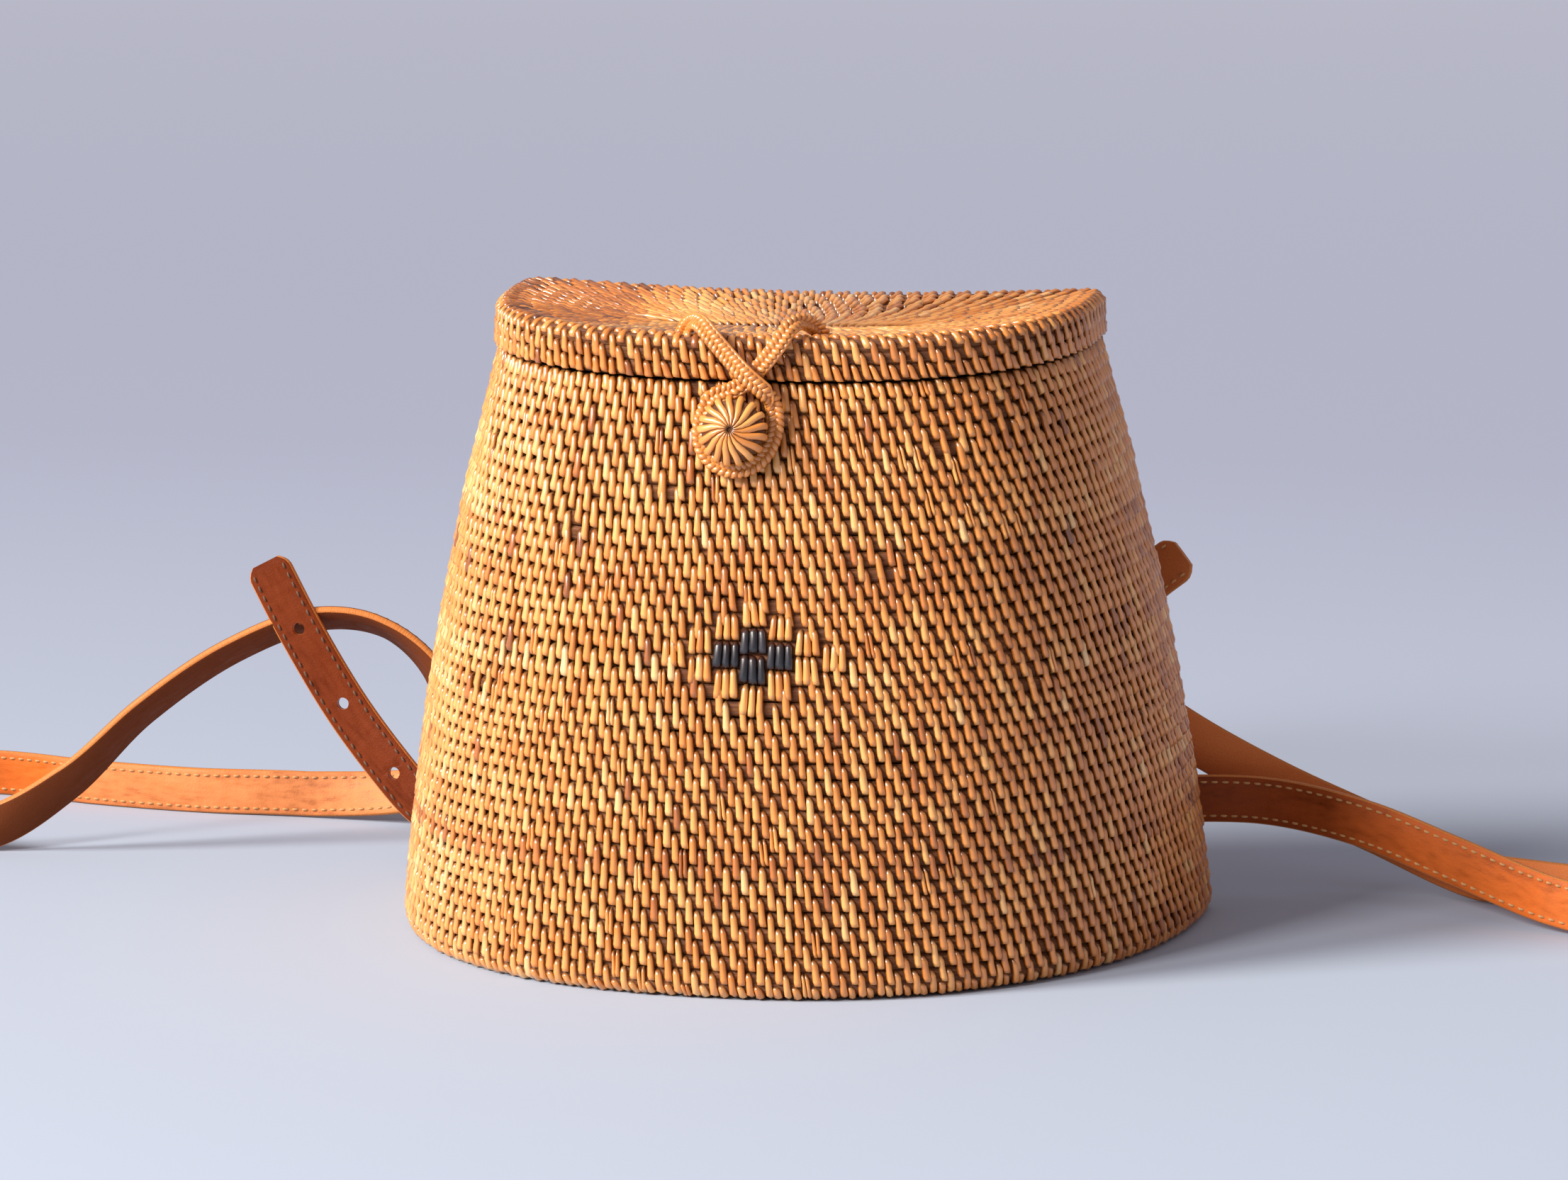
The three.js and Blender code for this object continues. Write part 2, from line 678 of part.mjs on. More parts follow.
for (const name of ['left', 'right']) {
  const place = lowerFittings[name];
  const frame = fittingFrame(place);
  const top = wallFrame((place.side * patchSpread) / 2, patchLevel, 1, 0);
  const patch = roundedPlate(patchWidth, patchHeight, patchThickness, 4);
  patch.translate(0, 0, -patchThickness);
  seatOnWall(patch, top, 0, 0, clearance);
  bag.add(named(`strap_patch_${name}`, toGeometry(toSolid(patch)), leather));
  bag.add(named(`shoulder_strap_${name}`, toGeometry(strapSolid(name)), leather));
  bag.add(named(`lower_tab_${name}`, toGeometry(tabSolid(frame)), leather));
  bag.add(named(`strap_ring_${name}`, toGeometry(ringSolid(frame)), brass));
  bag.add(named(`buckle_${name}`, toGeometry(buckleSolid(frame)), brass));
}

export default bag;
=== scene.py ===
import math
import bpy
import numpy as np
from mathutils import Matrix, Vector


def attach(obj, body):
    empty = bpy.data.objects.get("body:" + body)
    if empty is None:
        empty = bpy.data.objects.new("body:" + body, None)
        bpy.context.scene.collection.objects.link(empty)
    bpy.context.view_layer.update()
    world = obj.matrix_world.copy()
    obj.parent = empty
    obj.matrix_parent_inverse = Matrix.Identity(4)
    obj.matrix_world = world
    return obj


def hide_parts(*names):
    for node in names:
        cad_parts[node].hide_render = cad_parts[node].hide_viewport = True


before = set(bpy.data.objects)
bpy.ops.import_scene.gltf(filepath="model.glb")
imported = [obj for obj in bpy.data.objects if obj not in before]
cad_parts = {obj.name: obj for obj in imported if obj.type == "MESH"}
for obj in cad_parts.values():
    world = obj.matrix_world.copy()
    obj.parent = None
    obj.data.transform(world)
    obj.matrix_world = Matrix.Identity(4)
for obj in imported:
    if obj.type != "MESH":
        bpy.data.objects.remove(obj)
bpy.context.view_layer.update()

mm = 0.001  # everything below is in millimetres, mm brings it to metres
dice = np.random.default_rng(12)

basketShape = {
    "baseWidth": 250, "baseDepth": 153, "topWidth": 180, "topDepth": 112,
    "height": 181.5, "seamDip": 3, "sideSwell": 4.1, "backLean": 14.2, "backCorner": 10,
    "foot": 5,
    "baseLeftPower": 2.47, "baseRightPower": 2.03, "topPower": 2.95,
}


# curves and meshes

def mix(low, high, k):
    return low + (high - low) * k


def unit(v):
    return v / np.maximum(np.linalg.norm(v, axis=-1, keepdims=True), 1e-9)


def reachAlong(path):
    return np.append(0, np.cumsum(np.linalg.norm(np.diff(path, axis=0), axis=1)))


# a line's points at the given lengths along it
def pointsAt(line, reach, at):
    return np.stack([np.interp(at, reach, line[:, i]) for i in range(3)], -1)


# row vectors blended along a path and set square to it
def squared(along, vectors, share):
    low = np.floor(share).astype(int)
    high = np.minimum(low + 1, len(vectors) - 1)
    k = (share - low)[:, None]
    blend = unit(vectors[low] * (1 - k) + vectors[high] * k)
    return unit(blend - along * (blend * along).sum(1)[:, None])


# where each vertex is on its own strip: across it, along it, and a number of its own
def strandMarks(across, along, own):
    return np.stack([a.ravel() for a in np.broadcast_arrays(across, along, own)], 1)


# faces between rings of n points each
def bands(rings, n, closed=False, flip=False):
    faces = []
    for a in range(rings if closed else rings - 1):
        low, high = a * n, (a + 1) % rings * n
        for i in range(n):
            j = (i + 1) % n
            second, last = (high + i, low + j) if flip else (low + j, high + i)
            faces.append((low + i, second, high + j, last))
    return faces


def meshFrom(name, verts, faces):
    mesh = bpy.data.meshes.new(name)
    mesh.from_pydata((np.asarray(verts, float) * mm).tolist(), [], faces)
    return mesh


def placed(name, data):
    item = bpy.data.objects.new(name, data)
    bpy.context.scene.collection.objects.link(item)
    return item


# marks are one value or vector for each vertex
def pieceFrom(name, verts, faces, body, look, marks=None):
    verts = np.array(verts, float)
    verts[:, 2] = np.maximum(verts[:, 2], 0.05)  # nothing sinks into the floor
    mesh = meshFrom(name, verts, faces)
    mesh.polygons.foreach_set("use_smooth", np.ones(len(mesh.polygons), bool))
    mesh.materials.append(look)
    for mark, values in (marks or {}).items():
        values = np.asarray(values, np.float32)
        kind = "FLOAT_VECTOR" if values.ndim == 2 else "FLOAT"
        data = mesh.attributes.new(mark, kind, "POINT").data
        data.foreach_set("vector" if values.ndim == 2 else "value", values.ravel())
    mesh.update()
    piece = placed(name, mesh)
    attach(piece, body)
    return piece


# centripetal curve through the points, with the row share of each sample
def smoothPath(points, finest):
    pts = np.asarray(points, float)
    first, last = 2 * pts[0] - pts[1], 2 * pts[-1] - pts[-2]
    ring = np.vstack([first, pts, last])
    out, shares = [], []
    for i in range(len(pts) - 1):
        p = ring[i:i + 4]
        d = np.sqrt(np.linalg.norm(np.diff(p, axis=0), axis=1))
        d = np.maximum(d, 1e-4)
        t1 = ((p[1] - p[0]) / d[0] - (p[2] - p[0]) / (d[0] + d[1]) + (p[2] - p[1]) / d[1]) * d[1]
        t2 = ((p[2] - p[1]) / d[1] - (p[3] - p[1]) / (d[1] + d[2]) + (p[3] - p[2]) / d[2]) * d[1]
        steps = max(2, round(float(np.linalg.norm(p[2] - p[1])) / finest))
        ends = i + 2 == len(pts)
        for t in np.linspace(0, 1, steps + 1)[:None if ends else -1]:
            cubic = 2 * p[1] - 2 * p[2] + t1 + t2
            square = -3 * p[1] + 3 * p[2] - 2 * t1 - t2
            out.append(p[1] + t1 * t + square * t * t + cubic * t ** 3)
            shares.append(i + t)
    return np.array(out), np.array(shares)


# one tube: section holds (across, off) pairs, or one such list for each station
def sweep(path, wide, thick, section, closed=False):
    path, wide, thick = (np.asarray(a, float) for a in (path, wide, thick))
    section = np.asarray(section, float)
    if section.ndim == 2:
        section = np.repeat(section[None], len(path), 0)
    verts = (path[:, None] + wide[:, None] * section[..., :1] + thick[:, None] * section[..., 1:])
    n, m = section.shape[:2]
    faces = bands(n, m, closed, True)
    if not closed:
        faces += [tuple(range(m)), tuple(range(n * m - 1, (n - 1) * m - 1, -1))]
    return verts.reshape(-1, 3), faces


# several (verts, faces) as one
def joined(parts):
    verts, faces, start = [], [], 0
    for v, f in parts:
        verts.append(v)
        faces += [tuple(i + start for i in face) for face in f]
        start += len(v)
    return np.vstack(verts), faces


def roundSection(across, off, sides):
    t = np.linspace(0, -2 * math.pi, sides, endpoint=False)
    return np.stack([across * np.cos(t), off * np.sin(t)], 1)


# looks

def newLook(name):
    look = bpy.data.materials.new(name)
    look.use_nodes = True
    nodes = look.node_tree.nodes
    nodes.clear()
    out = nodes.new("ShaderNodeOutputMaterial")
    shader = nodes.new("ShaderNodeBsdfPrincipled")
    look.node_tree.links.new(shader.outputs[0], out.inputs[0])
    return look, shader


# values are numbers or other nodes' outputs
def feed(node, values):
    for key, value in values.items():
        if isinstance(value, bpy.types.NodeSocket):
            node.id_data.links.new(value, node.inputs[key])
        else:
            node.inputs[key].default_value = value


def add(look, kind, values=None, **settings):
    node = look.node_tree.nodes.new(kind)
    for key, value in settings.items():
        setattr(node, key, value)
    feed(node, values or {})
    return node


def ramp(look, source, stops):
    node = add(look, "ShaderNodeValToRGB", {"Fac": source})
    while len(node.color_ramp.elements) > 1:
        node.color_ramp.elements.remove(node.color_ramp.elements[-1])
    for i, (at, colour) in enumerate(stops):
        stop = node.color_ramp.elements[0] if i == 0 else node.color_ramp.elements.new(at)
        stop.position = at
        stop.color = (*colour, 1)
    return node.outputs["Color"]


def mixColour(look, share, a, b, blend="MIX"):
    a, b = (c if isinstance(c, bpy.types.NodeSocket) else (*c, 1) for c in (a, b))
    node = add(look, "ShaderNodeMix", data_type="RGBA", blend_type=blend)
    feed(node, {0: share, 6: a, 7: b})
    return node.outputs[2]


def mark(look, name, vector=False):
    node = add(look, "ShaderNodeAttribute", attribute_name=name)
    return node.outputs["Vector" if vector else "Fac"]


def scaled(look, vector, x, y, z):
    return add(look, "ShaderNodeVectorMath", {0: vector, 1: (x, y, z)}, operation="MULTIPLY").outputs[0]


def sums(look, operation, a, b, clamp=False):
    return add(look, "ShaderNodeMath", {0: a, 1: b}, operation=operation, use_clamp=clamp).outputs[0]


# noise that swings to both sides of zero
def sway(look, source, amount):
    return sums(look, "MULTIPLY", sums(look, "SUBTRACT", source, 0.5), amount)


def noise(look, place, stretch, detail, rough=0.5, scale=1.0):
    return add(look, "ShaderNodeTexNoise", {"Vector": scaled(look, place, *stretch), "Scale": scale,
                                            "Detail": detail, "Roughness": rough}).outputs[0]


def bump(look, shader, height, strength, reach, before=None):
    values = {"Height": height, "Strength": strength, "Distance": reach * mm}
    if before is not None:
        values["Normal"] = before
    normal = add(look, "ShaderNodeBump", values).outputs[0]
    feed(shader, {"Normal": normal})
    return normal


stripLook = {
    "stops": [(0.0, (0.06, 0.016, 0.003)), (0.15, (0.24, 0.062, 0.008)), (0.35, (0.51, 0.142, 0.014)),
              (0.6, (0.79, 0.266, 0.038)), (0.82, (0.91, 0.42, 0.105)), (1.0, (0.97, 0.62, 0.28))],
    # the dark colour on the next line is painted shade for the tucked strip ends
    "tuckShadowColour": (0.055, 0.012, 0.002), "tuckShade": 0.84, "fibre": 0.17, "blotch": 0.12,
    "roughness": 0.36, "gloss": 1.0, "glossBlur": 0.26, "glossIor": 1.65,
}


def makeStripLook(name, stops, shine=1.0):
    look, shader = newLook(name)
    strand = mark(look, "strand", True)
    fibre = noise(look, strand, (5.5, 0.35, 1), 3)
    blotch = noise(look, strand, (0.5, 0.22, 1), 2)
    tone = sums(look, "ADD", mark(look, "tint"), sway(look, fibre, stripLook["fibre"]))
    tone = sums(look, "ADD", tone, sway(look, blotch, stripLook["blotch"]), True)
    colour = ramp(look, tone, stops)
    # painted shade: each strip darkens towards the ends that are tucked under the next row
    shade = sums(look, "MULTIPLY", mark(look, "tuckAndShade"), stripLook["tuckShade"])
    colour = mixColour(look, shade, colour, stripLook["tuckShadowColour"])
    rough = sums(look, "ADD", sums(look, "MULTIPLY", blotch, 0.2), stripLook["roughness"] - 0.1)
    feed(shader, {"Base Color": colour, "Roughness": rough, "Coat Weight": stripLook["gloss"] * shine,
                  "Coat Roughness": stripLook["glossBlur"], "Coat IOR": stripLook["glossIor"]})
    bump(look, shader, fibre, 0.35, 0.25)
    return look


rodLook = {"stops": [(0.2, (0.04, 0.011, 0.002)), (0.5, (0.15, 0.045, 0.01)), (0.8, (0.36, 0.13, 0.036))],
           "roughness": 0.55}


def makeRodLook():
    look, shader = newLook("rattan_core_fibres")
    strand = mark(look, "strand", True)
    fibre = noise(look, strand, (4.2, 0.06, 1), 4, 0.65)
    cloud = noise(look, strand, (0.2, 0.05, 1), 2)
    tone = sums(look, "ADD", sums(look, "MULTIPLY", fibre, 0.9), sums(look, "MULTIPLY", cloud, 0.55))
    tone = sums(look, "SUBTRACT", tone, 0.22, True)
    feed(shader, {"Base Color": ramp(look, tone, rodLook["stops"]), "Roughness": rodLook["roughness"]})
    bump(look, shader, fibre, 0.7, 0.5)
    return look


# grain and flesh run from undyed leather to the darkest dyed leather; along the straps the same scale also
# carries painted shade
leatherColours = {
    "grain": [(0.0, (0.88, 0.4, 0.17)), (0.3, (0.78, 0.165, 0.024)), (0.65, (0.38, 0.072, 0.012)),
              (1.0, (0.185, 0.031, 0.005))],
    "flesh": [(0.0, (0.9, 0.46, 0.24)), (0.35, (0.84, 0.245, 0.07)), (0.7, (0.43, 0.12, 0.03)),
              (1.0, (0.17, 0.04, 0.01))],
    "cut": [(0.3, (0.46, 0.13, 0.026)), (0.7, (0.68, 0.26, 0.075))],
    "shade": [(0.3, (0.45, 0.4, 0.36)), (0.5, (0.82, 0.8, 0.78)), (0.72, (1.0, 1.0, 1.0))],
    "roughness": 0.5, "specular": 0.12,
}


def makeLeatherLook():
    look, shader = newLook("leather_straps")
    strand = mark(look, "strand", True)
    side = mark(look, "side")
    pores = add(look, "ShaderNodeTexVoronoi", {"Vector": scaled(look, strand, 1.9, 1.9, 1), "Scale": 1.0})
    pull = noise(look, strand, (0.55, 0.16, 1), 4)
    nap = noise(look, strand, (3.2, 2.6, 1), 3, 0.7)
    cloud = noise(look, strand, (0.09, 0.028, 1), 3)
    tone = sums(look, "ADD", sums(look, "MULTIPLY", pull, 0.5), sums(look, "MULTIPLY", cloud, 0.55))
    dyeAndShade = mark(look, "dyeAndShade")
    grain = ramp(look, dyeAndShade, leatherColours["grain"])
    grain = mixColour(look, 1.0, grain, ramp(look, tone, leatherColours["shade"]), "MULTIPLY")
    flesh = ramp(look, dyeAndShade, leatherColours["flesh"])
    flesh = mixColour(look, 0.6, flesh, ramp(look, nap, leatherColours["shade"]), "MULTIPLY")
    cut = ramp(look, nap, leatherColours["cut"])
    onGrain = sums(look, "GREATER_THAN", side, 0.55)
    onFlesh = sums(look, "LESS_THAN", side, -0.55)
    colour = mixColour(look, onGrain, cut, grain)
    colour = mixColour(look, onFlesh, colour, flesh)
    rough = sums(look, "ADD", sums(look, "MULTIPLY", onFlesh, 0.3),
                 sums(look, "MULTIPLY", pull, leatherColours["roughness"] + 0.3))
    feed(shader, {"Base Color": colour, "Roughness": rough,
                  "Specular IOR Level": leatherColours["specular"]})
    first = bump(look, shader, pores.outputs["Distance"], 0.25, 0.25)
    bump(look, shader, nap, 0.3, 0.3, first)
    return look


def makeThreadLook(name, dark, light):
    look, shader = newLook(name)
    strand = mark(look, "strand", True)
    ply = add(look, "ShaderNodeTexWave",
              {"Vector": scaled(look, strand, 3, 3, 1), "Scale": 1.2, "Distortion": 0.4})
    feed(shader, {"Base Color": ramp(look, ply.outputs[1], [(0.1, dark), (0.8, light)]), "Roughness": 0.6})
    bump(look, shader, ply.outputs[1], 0.4, 0.15)
    return look


def makeBrassLook():
    look, shader = newLook("aged_brass")
    place = add(look, "ShaderNodeTexCoord").outputs["Object"]
    worn = noise(look, place, (1, 1, 1), 4, scale=220.0)
    scuff = noise(look, place, (1, 1, 9), 2, scale=600.0)
    colour = ramp(look, worn, [(0.35, (0.3, 0.19, 0.07)), (0.6, (0.68, 0.5, 0.22))])
    rough = sums(look, "ADD", sums(look, "MULTIPLY", worn, 0.3), 0.15)
    feed(shader, {"Base Color": colour, "Roughness": rough, "Metallic": 1.0})
    bump(look, shader, scuff, 0.15, 0.1)
    return look


blackStops = [(0.0, (0.004, 0.004, 0.006)), (0.42, (0.014, 0.014, 0.019)), (0.56, (0.034, 0.03, 0.037)),
              (0.75, (0.1, 0.055, 0.04))]
stripStraw = makeStripLook("rattan_strips", stripLook["stops"])
stripBlack = makeStripLook("rattan_strips_black", blackStops, 0.35)
rodStraw = makeRodLook()
leatherBrown = makeLeatherLook()
threadDark = makeThreadLook("thread_dark", (0.07, 0.028, 0.015), (0.2, 0.09, 0.045))
threadPale = makeThreadLook("thread_pale", (0.5, 0.22, 0.07), (0.82, 0.44, 0.17))
brassAged = makeBrassLook()
print("looks ready")


# basket and lid surfaces

def levelSize(k):
    b = basketShape
    swell = 4 * b["sideSwell"] * k * (1 - k)
    return {
        "half": mix(b["baseWidth"], b["topWidth"], k) / 2 + swell,
        "depth": mix(b["baseDepth"], b["topDepth"], k) + swell,
        "left": mix(b["baseLeftPower"], b["topPower"], k),
        "right": mix(b["baseRightPower"], b["topPower"], k),
        "back": b["baseDepth"] / 2 - b["backLean"] * k,
    }


ringSteps = 720


# D-shaped ring from the middle of the back, counter-clockwise, in equal steps
def outline(size, inset):
    half, back = size["half"] - inset, size["back"] - inset
    corner = max(basketShape["backCorner"] - inset, 2)
    bow = size["depth"] - 2 * inset - corner
    t = np.linspace(0, math.pi, 500)
    c, s = np.cos(t), np.sin(t)
    share = np.where(c > 0, 2 / size["left"], 2 / size["right"])
    front = np.stack([-half * np.sign(c) * np.abs(c) ** share, back - corner - bow * np.abs(s) ** share], 1)
    turn = np.linspace(0, math.pi / 2, 12, endpoint=False)
    left = np.stack([-(half - corner) - corner * np.sin(turn), back - corner + corner * np.cos(turn)], 1)
    right = left[::-1] * [-1, 1]
    ring = np.vstack([[0, back], left, front, right, [0, back]])
    reach = reachAlong(ring)
    want = np.linspace(0, reach[-1], ringSteps, endpoint=False)
    return np.stack([np.interp(want, reach, ring[:, 0]), np.interp(want, reach, ring[:, 1])], 1)


seamSize = levelSize(1)


def seamHeight(x):
    b = basketShape
    return b["height"] - b["seamDip"] * np.maximum(0, 1 - (x / seamSize["half"]) ** 2)


def frontWall(x, z):
    size = levelSize(min(z / basketShape["height"], 1))
    power = size["left"] if x < 0 else size["right"]
    share = max(0, 1 - abs(x / size["half"]) ** power) ** (1 / power)
    return size["back"] - basketShape["backCorner"] - (size["depth"] - basketShape["backCorner"]) * share


# a surface of rings: q counts rows across it, s runs once round it
class Skin:
    def __init__(self, ringAt, rows, facing=None):
        finer = 4
        self.finer, self.rows = finer, rows
        self.grid = np.array([ringAt(i / finer) for i in range(rows * finer + 1)])
        along = np.roll(self.grid, -1, 1) - np.roll(self.grid, 1, 1)
        up = np.gradient(self.grid, axis=0)
        self.along, self.out = unit(along), unit(np.cross(along, up))
        if facing is not None:
            self.out[self.out @ np.array(facing) < -0.2] *= -1
        steps = np.linalg.norm(np.roll(self.grid, -1, 1) - self.grid, axis=2)
        self.length = steps.sum(1)

    def pick(self, table, q, s):
        i = np.clip(np.asarray(q) * self.finer, 0, self.rows * self.finer - 1e-6)
        j = (np.asarray(s) % 1) * ringSteps
        i0, j0 = i.astype(int), j.astype(int) % ringSteps
        fi, fj = (i - i0)[..., None], (j - np.floor(j))[..., None]
        j1 = (j0 + 1) % ringSteps
        low = table[i0, j0] * (1 - fj) + table[i0, j1] * fj
        high = table[i0 + 1, j0] * (1 - fj) + table[i0 + 1, j1] * fj
        return low * (1 - fi) + high * fi

    def spot(self, q, s):
        return self.pick(self.grid, q, s), self.pick(self.along, q, s), self.pick(self.out, q, s)

    def lengthAt(self, q):
        return np.interp(q, np.arange(len(self.length)) / self.finer, self.length)


wallWeave = {"rows": 41, "wave": 0.6, "stepLow": 5.25, "step": 4.7, "stepHigh": 4.95, "lowReach": 0.52,
             "topReach": 0.62, "placeSpread": 0.1}
lidShape = {"height": 13.8, "edge": 3.5, "dish": 4, "overhang": 1.4, "gap": 0.3, "rows": 15, "pitch": 4.4,
            "stepSide": 5.6, "stepTop": 5.0, "darkEnd": -36, "darkBack": -30, "darkRun": 16, "darkest": 0.42,
            "topPaintedLight": 0.09, "sidePaintedShade": -0.06, "lowReach": 0.62, "placeSpread": 0.12, "sideLean": 1.5,
            "edgeTall": 0.8, "narrow": 0.97}
baseWeave = {"rows": 16, "pitch": 4.4, "step": 5.2, "margin": 4, "level": 0.75, "reach": 0.98}


def wallRing(q):
    k = q / wallWeave["rows"]
    size, foot = levelSize(k), basketShape["foot"]
    under = 1 - min(k * basketShape["height"] / foot, 1)  # the lowest row rolls under the base
    ring = outline(size, foot * (1 - math.sqrt(1 - under ** 2)))
    across = ring[:, 0] / size["half"] * seamSize["half"]
    s = np.arange(ringSteps) / ringSteps * 2 * math.pi
    wave = np.sin(3 * s + 0.5 * q) + 0.6 * np.sin(8 * s - 0.8 * q)  # hand-laid rows are never quite level
    return np.column_stack([ring, k * seamHeight(across) + wallWeave["wave"] * math.sin(math.pi * k) * wave])


def lidRing(q):
    c = lidShape
    size = dict(seamSize, half=seamSize["half"] + c["overhang"], depth=seamSize["depth"] + c["overhang"])
    reach = q * c["pitch"]
    straight = c["height"] - c["edge"] - c["gap"]
    bend = c["edge"] * math.pi / 2
    if reach < straight:
        inset, high = 0, c["gap"] + reach
    elif reach < straight + bend:
        t = (reach - straight) / c["edge"]
        inset, high = c["edge"] * (1 - math.cos(t)), c["height"] - c["edge"] * (1 - math.sin(t))
    else:
        inset = c["edge"] + reach - straight - bend
        scale = 1 - (inset - c["edge"]) / (size["depth"] / 2 - c["edge"])
        high = c["height"] - c["dish"] * (1 - scale ** 2)
    ring = outline(size, inset)
    return np.column_stack([ring, seamHeight(ring[:, 0]) + high])


def baseRing(q):
    b = baseWeave
    ring = outline(levelSize(0), b["margin"] + (b["rows"] - q) * b["pitch"])
    return np.column_stack([ring, np.full(len(ring), b["level"])])


wallSkin = Skin(wallRing, wallWeave["rows"])
lidSkin = Skin(lidRing, lidShape["rows"], (0.0, 0.0, 1.0))
baseSkin = Skin(baseRing, baseWeave["rows"], (0.0, 0.0, -1.0))
print("surfaces ready")


# weave: rods laid in rows, and strips stitched over two rows each

strip = {
    "wide": 2.32, "tall": 1.3,
    "at": [0, 0.08, 0.22, 0.5, 0.78, 0.92, 1],
    "off": [-2.6, -1.4, -0.95, -1.1, -0.8, -1.1, -2.6],
    "narrow": [0.42, 0.72, 0.92, 0.97, 1.06, 1.0, 0.7],
    # how far each station is tucked under; the same values set its painted shade
    "tuckAndShade": [1, 0.85, 0.3, 0.1, 0, 0.25, 1],
    "section": [(-1, 0), (-0.8, 0.72), (0, 1), (0.8, 0.72), (1, 0)],
    "wideRange": (0.87, 1.08), "tallRange": (0.88, 1.12), "rowSpread": 0.04, "leanSpread": 0.3,
}
insideStrip = {
    "tall": 0.5, "darker": 0.12,
    "at": [0, 0.22, 0.5, 0.78, 1],
    "off": [-0.9, 0.05, -0.1, 0.05, -0.9],
    "narrow": [0.8, 1, 1, 1, 0.8],
    # how far each station is tucked under; the same values set its painted shade
    "tuckAndShade": [1, 0.3, 0.15, 0.3, 1],
    "section": [(-1, 0), (0, 1), (1, 0)],
}
rodShape = {"radius": 2.35, "depth": 1.75, "under": 0.95, "uneven": 0.03, "sides": 8, "steps": 144}


# strips on a skin; sink moves them to the far side of the wall, facing inward
def stitchMesh(skin, stitches, kind=strip, sink=0.0):
    q, reach, s, lean, wide, tall, tint = (np.array([x[i] for x in stitches]) for i in range(7))
    at = np.array(kind["at"])
    section = np.array(kind["section"])
    n, rows, cols = len(q), len(at), len(section)
    qAt = q[:, None] + (0.5 - at) * 2 * reach[:, None]
    qAt = np.clip(qAt, 0.02, skin.rows - 0.02)
    hook = 0.55 * (at - 0.5) + 1.8 * (at - 0.5) ** 3  # straight in the middle, hooked where it tucks in
    sAt = s[:, None] + lean[:, None] * hook / skin.lengthAt(q)[:, None]
    place, along, out = skin.spot(qAt, sAt)
    facing = -1 if sink else 1
    off = np.array(kind["off"]) * facing - sink
    half = wide[:, None] / 2 * np.array(kind["narrow"])
    rise = tall[:, None] * facing * np.where(np.array(kind["tuckAndShade"]) > 0.9, 0.6, 1)
    base = place + out * off[None, :, None]
    verts = (base[:, :, None] + along[:, :, None] * (half[..., None] * section[:, 0])[..., None]
             + out[:, :, None] * (rise[..., None] * section[:, 1])[..., None])
    one = np.array(bands(rows, cols, flip=facing > 0))
    faces = (one[None] + (np.arange(n) * rows * cols)[:, None, None]).reshape(-1, 4).tolist()
    caps = [tuple(range(cols)), tuple(range(rows * cols - 1, (rows - 1) * cols - 1, -1))]
    if facing < 0:
        caps = [cap[::-1] for cap in caps]
    for cap in caps:
        faces += (np.array(cap)[None] + (np.arange(n) * rows * cols)[:, None]).tolist()
    own = dice.uniform(0, 900, n)
    down = at[None] * 2 * reach[:, None] * lidShape["pitch"]
    marks = {
        "strand": strandMarks(half[..., None] * section[:, 0], down[..., None], own[:, None, None]),
        "tint": np.repeat(tint, rows * cols),
        "tuckAndShade": np.tile(np.repeat(kind["tuckAndShade"], cols), n),
    }
    return verts.reshape(-1, 3), faces, marks


# round rods that run all the way round at the given levels
def rodMesh(skin, levels, under):
    steps, sides = rodShape["steps"], rodShape["sides"]
    radius, depth = rodShape["radius"], rodShape["depth"]
    s = np.arange(steps) / steps
    angle = np.linspace(0, 2 * math.pi, sides, endpoint=False) + math.pi / sides
    verts, strand = [], []
    for level in levels:
        place, along, out = skin.spot(np.full(steps, level), s)
        up = np.cross(out, along)
        middle = place - out * (depth + under)
        grow = (1 + rodShape["uneven"] * np.sin(s * 40 + level * 7))[:, None, None]
        ring = (middle[:, None] + out[:, None] * grow * depth * np.cos(angle)[None, :, None]
                + up[:, None] * grow * radius * np.sin(angle)[None, :, None])
        verts.append(ring.reshape(-1, 3))
        strand.append(strandMarks(angle * radius, s[:, None] * skin.lengthAt(level), level * 31.7))
    one = np.array(bands(steps, sides, True, True))
    faces = (one[None] + (np.arange(len(levels)) * steps * sides)[:, None, None]).reshape(-1, 4).tolist()
    return np.vstack(verts), faces, {"strand": np.vstack(strand)}


def stripPiece(name, body, skin, stitches, kind=strip, sink=0.0, look=stripStraw):
    verts, faces, marks = stitchMesh(skin, stitches, kind, sink)
    pieceFrom(name, verts, faces, body, look, marks)


def rodPiece(name, body, skin, rows, under):
    verts, faces, marks = rodMesh(skin, np.arange(rows) + 0.5, under)
    return pieceFrom(name, verts, faces, body, rodStraw, marks)


# places of the stitches in each row: each sits between two of the row before
def staggered(skin, levels, gaps):
    count = round(skin.lengthAt(levels[0]) / gaps[0])
    places = (np.arange(count) + dice.uniform(-0.05, 0.05, count)) / count
    runs = [places]
    for level, gap in zip(levels[1:], gaps[1:]):
        room = np.diff(np.append(places, places[0] + 1))
        places = np.sort((places + room / 2) % 1)
        want = skin.lengthAt(level) / gap
        for _ in range(3):
            room = np.diff(np.append(places, places[0] + 1))
            if len(places) > want + 0.7:
                places = np.delete(places, np.argmin(room + dice.uniform(0, 0.25, len(room)) * room.mean()))
            elif len(places) < want - 0.7:
                i = np.argmax(room + dice.uniform(0, 0.25, len(room)) * room.mean())
                places = np.sort(np.append(places, (places[i] + room[i] / 2) % 1))
        for _ in range(3):
            room = np.diff(np.append(places, places[0] + 1))
            places = places + 0.22 * (room - np.roll(room, 1))
        runs.append(np.sort(places % 1))
    return runs


stripTints = {
    "middle": 0.65, "spread": 0.08, "rowSpread": 0.055, "brownShare": 0.018, "paleShare": 0.05,
    "rightShade": 0.0009,
    "splitShare": 0.05, "splitGap": 0.62, "splitWide": 0.52,
    "brownRow": 9, "brownRowTint": 0.42, "brownRowSpread": 0.09, "lean": 1.5, "leanRight": 1.3,
}


